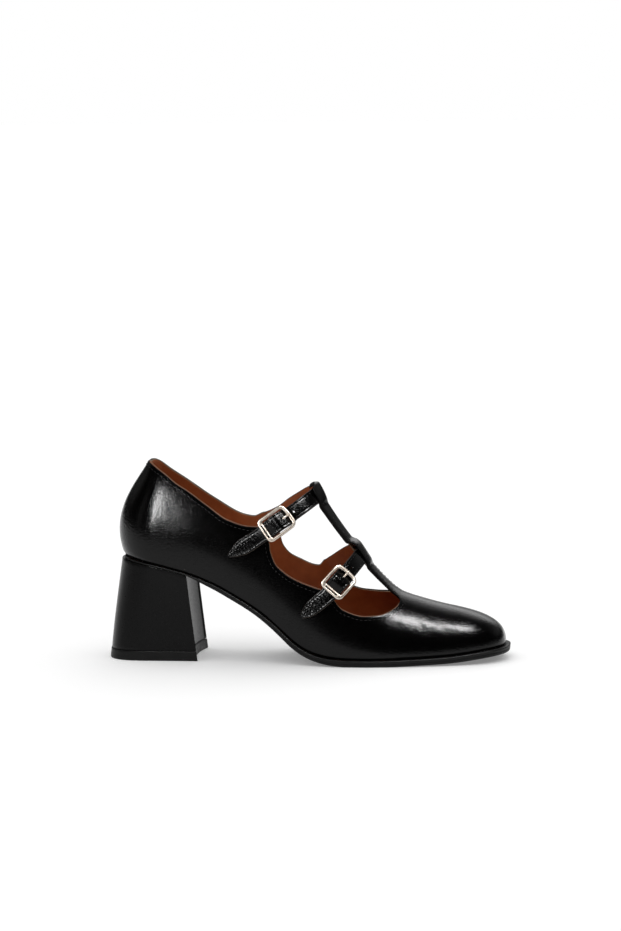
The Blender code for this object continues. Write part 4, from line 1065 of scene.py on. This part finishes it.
def strapLoops(path, cfg):
    pulled = path.pin + cfg["pulledFrom"]
    q = np.concatenate([np.linspace(path.start - cfg["root"], pulled, cfg["rows"]),
                        np.linspace(pulled, path.tip, cfg["endRows"])[1:]])
    buried = np.clip((path.start - q) / cfg["root"], 0, 1)    # the root runs on into the wall
    half = path.width(q) / 2
    low = path.lift(q) + cfg["rootSink"] * buried
    thick = strapThick - buried
    top = half - np.minimum(cfg["ledge"], half * cfg["ledgeShare"])
    roll = np.minimum(cfg["roll"], top * cfg["rollShare"])
    turn = np.linspace(0, np.pi / 2, 4)
    leather, lining, cut = 0, 1, 2
    inner = half - cfg["innerInset"]
    loops = [(v * inner, low, lining) for v in np.linspace(-1, 1, 9)]    # inner face
    loops[-1] = (*loops[-1][:2], cut)
    # cut edge of the lower layer, then its ledge under the upper one
    layers = ((half, 0.06, cut), (half, 0.44, cut), (top, 0.5, leather))
    loops += [(out, low + v * thick, slot) for out, v, slot in layers]
    rolled = [(top - roll * (1 - np.cos(a)), low + thick - roll * (1 - np.sin(a)), leather) for a in turn]
    loops += rolled
    for v in np.linspace(1, -1, cfg["across"])[1:-1]:    # outer face
        b = v * (top - roll)
        seam = np.exp(-((np.abs(b) - (half - cfg["seam"])) / cfg["seamWidth"]) ** 2)
        seam = seam * np.clip(half - cfg["seam"], 0, 1)
        rise = cfg["crown"] * (1 - v * v) - cfg["seamDepth"] * seam + crinkles(path, q, b, cfg)
        loops.append((b, low + thick + rise, leather))
    loops += [(-b, o, slot) for b, o, slot in reversed(rolled)]
    loops += [(-out, low + v * thick, cut) for out, v, slot in reversed(layers)]
    points = np.stack([path.lay(q, b + path.shift(q), o) for b, o, slot in loops], 1)
    return points, [slot for b, o, slot in loops]


def cutAway(piece, points, faces):
    cutter = makePiece("cutter", points, faces, [])
    step = piece.modifiers.new("cut", 'BOOLEAN')
    step.operation = 'DIFFERENCE'
    step.solver = 'EXACT'
    step.object = cutter
    applyModifiers(piece)
    bpy.data.objects.remove(cutter)


def block(path, q, half, low, high):
    corners = [(-half, low), (half, low), (half, high), (-half, high)]
    return tube(np.stack([path.lay(np.array(q), b, o) for b, o in corners], 1))


def circle(sides):
    angle = np.arange(sides) * 2 * np.pi / sides
    return np.cos(angle), np.sin(angle)


def post(path, q, radius, low, high, sides=20):
    c, s = circle(sides)
    return tube(np.stack([path.lay(q + radius * c, radius * s, o) for o in (low, high)]))


def rod(path, radius, sides=14):
    # Round rod along points; radius may change along it
    along = unit(np.gradient(path, axis=0))
    rise = unit(np.cross(along, np.roll(along, 1, axis=1) + np.array([0.13, 0.29, 0.41])))
    for i in range(1, len(path)):
        rise[i] = unit(rise[i - 1] - along[i] * np.dot(rise[i - 1], along[i]))
    third = np.cross(along, rise)
    c, s = (v[None, :, None] for v in circle(sides))
    radius = np.broadcast_to(radius, len(path))[:, None, None]
    return tube(path[:, None] + radius * (c * rise[:, None] + s * third[:, None]))


def smoothRun(rows, count):
    # Even points on a smooth line through a few rows
    rows = np.array(rows, float)
    run = runAlong(rows)
    lines = [cutLine(np.column_stack([run, column])) for column in rows.T]
    at = np.linspace(0, run[-1], count)
    return np.column_stack([line(at) for line in lines])


def buildStrap(name, path, cfg):
    loops, slots = strapLoops(path, cfg)
    points, faces = tube(loops)
    slots = slots * (len(loops) - 1) + [2, 2]
    piece = makePiece(name + "Strap", points, faces, ["strapLeather", "liningLeather", "strapEdge"], slots)
    pin = path.pin
    # the prong comes up through the open half of its slot
    for end, roof in ((cfg["slotNear"], cfg["slotRoof"]), (cfg["slotOpen"], cfg["openRoof"])):
        at = pin + path.reach * np.linspace(cfg["slotFar"], end, 5)
        cutAway(piece, *block(path, at, cfg["slot"], 0.0, roof))
    under, over = -1.0, 5.0    # right through the strap
    cutAway(piece, *post(path, pin - cfg["holeStep"], cfg["hole"], under, over))
    settle(piece, "black_leather", "strap_" + name)
    litBy[name + "Trim"].objects.link(piece)


def framePlan(path, cfg):
    # Middle line of the frame: four round corners, straight between, bowed at the near end
    bend = cfg["corner"]
    length, width = path.reach - bend, cfg["halfWidth"] - bend
    corners = []
    for k, (q, b) in enumerate(((1, 1), (-1, 1), (-1, -1), (1, -1))):
        turn = np.linspace(0, np.pi / 2, 9) + k * np.pi / 2
        corners.append(np.column_stack([q * length + bend * np.cos(turn), b * width + bend * np.sin(turn)]))
    plan = []
    for one, two in zip(corners, corners[1:] + corners[:1]):
        plan += [*one, *np.linspace(one[-1], two[0], 12)[1:-1]]
    plan = np.array(plan)
    near = np.clip(-plan[:, 0] / path.reach, 0, 1) ** 4
    plan[:, 0] -= cfg["bow"] * near * (1 - (plan[:, 1] / cfg["halfWidth"]) ** 2)
    return plan, np.clip((plan[:, 0] - length) / bend, 0, 1)


def buildFrame(name, path, cfg):
    plan, farEnd = framePlan(path, cfg)
    along = unit(np.roll(plan, -1, axis=0) - np.roll(plan, 1, axis=0))
    out = np.column_stack([along[:, 1], -along[:, 0]])
    out = out * ((cfg["bar"] + (cfg["endBar"] - cfg["bar"]) * farEnd) / 2)[:, None]
    loops = []
    for e, u in bandSection:
        q, b = (plan + e * out).T
        loops.append(path.lay(path.pin + q, b, cfg["level"] + u * cfg["thick"] / 2))
    points, faces = tube(np.stack(loops, 1), closed=True)
    # the centre bar hangs on both sides of the frame
    half, pin, turn = cfg["halfWidth"], cfg["pinLevel"], cfg["pinTurn"]
    ends = [(-half, cfg["level"] - 0.2), (-half, pin + turn), (-half + 0.2, pin + 0.2), (-half + turn, pin)]
    rows = ends + [(0.0, pin)] + [(-b, o) for b, o in reversed(ends)]
    line = np.array([path.lay(path.pin, b, o) for b, o in smoothRun(rows, 60)])
    pinPoints, pinFaces = rod(line, cfg["pinRadius"])
    faces = faces + [[i + len(points) for i in f] for f in pinFaces]
    piece = makePiece(name + "Buckle", np.concatenate([points, pinPoints]), faces, ["paleGold"])
    slot = path.pin + path.reach + cfg["slotWidth"] * np.array([-0.5, 0.5])
    through = 2.0
    cutAway(piece, *block(path, slot, cfg["slotHalf"], cfg["level"] - through, cfg["level"] + through))
    settle(piece, "pale_gold", "buckle_" + name)
    litBy[name + "Gold"].objects.link(piece)


def roundBar(turn, degrees, cfg):
    # Points round the buckle's centre bar
    return [(turn * np.cos(a), cfg["pinLevel"] + turn * np.sin(a)) for a in np.radians(degrees)]


def buildProng(name, path, cfg):
    turn = cfg["pinRadius"] + cfg["prongPlay"] + cfg["prongRadius"]
    rows = roundBar(turn, np.arange(-150, 91, 15), cfg)
    run = smoothRun(rows + [(share * path.reach, o) for share, o in prongRun], 70)
    line = np.array([path.lay(path.pin + q, 0.0, o) for q, o in run])
    fromTip = len(run) - np.arange(len(run))    # rounded over its last few points
    radius = cfg["prongRadius"] * np.clip(fromTip / 3, 0.35, 1) ** 0.5
    piece = makePiece(name + "Prong", *rod(line, radius, 12), ["paleGold"])
    settle(piece, "pale_gold", "prong_" + name)
    litBy[name + "Gold"].objects.link(piece)


def buildTab(name, path, cfg, slotHalf):
    turn = cfg["pinRadius"] + cfg["tabPlay"] + cfg["tabThick"] / 2
    rows = [(q, cfg["pinLevel"] - turn) for q in np.linspace(cfg["tabLength"], cfg["tabTurn"], 12)]
    rows = np.array(rows + roundBar(turn, np.arange(-90, -346, -15), cfg))
    along = unit(np.gradient(rows, axis=0))
    out = np.column_stack([-along[:, 1], along[:, 0]]) * cfg["tabThick"] / 2
    half = cfg["tabWidth"] / 2
    flat = half - cfg["tabEase"]
    edge = ((1, -flat), (1, flat), (0.6, half), (-0.6, half))
    edge += tuple((-k, -b) for k, b in edge)
    loops = []
    for k, b in edge:
        q, o = (rows + k * out).T
        loops.append(path.lay(path.pin + q, b, o))
    piece = makePiece(name + "Tab", *tube(np.stack(loops, 1)), ["strapLeather"])
    under, over = -1.5, 5.5    # the prong's slot goes right through the turned end
    cutAway(piece, *block(path, path.pin + np.array(cfg["tabSlot"]), slotHalf, under, over))
    settle(piece, "black_leather", "buckle_tab_" + name)


for strapName, strapPath in straps.items():
    buildStrap(strapName, strapPath, strapLook)
    buildFrame(strapName, strapPath, buckleLook)
    buildProng(strapName, strapPath, buckleLook)
    buildTab(strapName, strapPath, buckleLook, strapLook["slot"])
print("straps and buckles done")


# Stitches
stitchLook = {"length": 2.1, "pitch": 2.7, "thick": 0.42, "fromRim": 2.3, "fromBar": 1.7, "fromStrap": 1.6,
              "proud": 0.06, "barFrom": 12.5, "offThroat": 2.5, "offBuckle": 10.5, "offRidge": 10.0,
              "offRoot": 1.5, "offTip": 3.2, "narrowest": 0.15, "heelFan": 26, "rimStep": 0.8,
              "barStep": 0.6, "strapStep": 0.5}


def capsule(rings=6, sides=6):
    # One stitch along X, half width 1, pulled down into the leather at both ends
    u = np.linspace(-1, 1, rings)
    size = np.sqrt(np.maximum(1 - np.abs(u) ** 3, 0.05))
    c, s = circle(sides)
    loops = [np.stack([np.full(sides, a), r * c, r * s - 0.9 * a * a], -1) for a, r in zip(u, size)]
    return tube(np.stack(loops))


def stitchRow(line, normal, cfg):
    # line: points along the seam, normal: outward there
    run = runAlong(line)
    count = max(1, int(run[-1] / cfg["pitch"]))
    middleAt = (np.arange(count) + 0.5) * run[-1] / count

    def read(table, at):
        return np.stack([np.interp(at, run, column) for column in table.T], -1)

    spot, out = read(line, middleAt), unit(read(normal, middleAt))
    along = unit(read(line, middleAt + 0.5) - read(line, middleAt - 0.5))
    side = unit(np.cross(out, along))
    unitPoints, unitFaces = capsule()
    half = cfg["thick"] / 2
    shape = unitPoints * np.array([cfg["length"] / 2, half, half])
    points = (spot[:, None] + out[:, None] * cfg["proud"] + shape[None, :, 0:1] * along[:, None]
              + shape[None, :, 1:2] * side[:, None] + shape[None, :, 2:3] * out[:, None])
    faces = [[i + k * len(unitPoints) for i in f] for k in range(count) for f in unitFaces]
    return points.reshape(-1, 3), faces


def stitchPiece(name, rows):
    points, faces, start = [], [], 0
    for line, normal in rows:
        p, f = stitchRow(line, normal, stitchLook)
        points.append(p)
        faces += [[i + start for i in face] for face in f]
        start += len(p)
    piece = makePiece(name, np.concatenate(points), faces, ["blackThread"])
    settle(piece, "black_leather")


def rimSeam(side, cfg):
    edge = drawnIn(rims[side], cfg["fromRim"])
    columns = evenColumns(edge, cfg["rimStep"], throat + cfg["fromRim"] - 0.05)
    s = np.concatenate([np.linspace(0.02, 1, cfg["heelFan"]), station(columns)])
    t = np.array([shareAtHeight(side, a, edge) for a in s])
    base, normal = last(side, s, t), facing(side, s, t)
    return base + normal * creased(base)[:, None], normal


def barSeam(side, cfg):
    xs = np.arange(cfg["barFrom"], throat - cfg["offThroat"], cfg["barStep"])
    s = station(xs)
    t = np.array([shareAtWidth(side, a, h) for a, h in zip(s, barSize("half", xs) - cfg["fromBar"])])
    base, normal = last(side, s, t), facing(side, s, t)
    return base + normal * barFaces(base)[0][:, None], normal


def strapSeam(path, q, b):
    return path.lay(q, b + path.shift(q), path.lift(q) + strapThick), path.axes(q)[2]


def strapSeams(path, cfg):
    # Down one edge of the pulled end, round its tip and back; then both edges before and behind the T-bar
    def edge(start, end):
        q = np.arange(start, end, cfg["strapStep"])
        return q, path.width(q) / 2 - cfg["fromStrap"]

    q, b = edge(path.pin + cfg["offBuckle"], path.tip - cfg["offTip"])
    q, b = q[b > cfg["narrowest"]], b[b > cfg["narrowest"]]
    rows = [strapSeam(path, np.concatenate([q, q[::-1]]), np.concatenate([b, -b[::-1]]))]
    for sign in (-1, 1):
        for start, end in ((cfg["offRidge"], path.pin - cfg["offBuckle"]),
                           (path.start + cfg["offRoot"], -cfg["offRidge"])):
            q, b = edge(start, end)
            rows.append(strapSeam(path, q, sign * b))
    return rows


stitchPiece("upperStitches", [seam(side, stitchLook) for seam in (rimSeam, barSeam)
                              for side in (lateral, medial)])
for strapName, strapPath in straps.items():
    stitchPiece(strapName + "StrapStitches", strapSeams(strapPath, stitchLook))
print("stitches done")
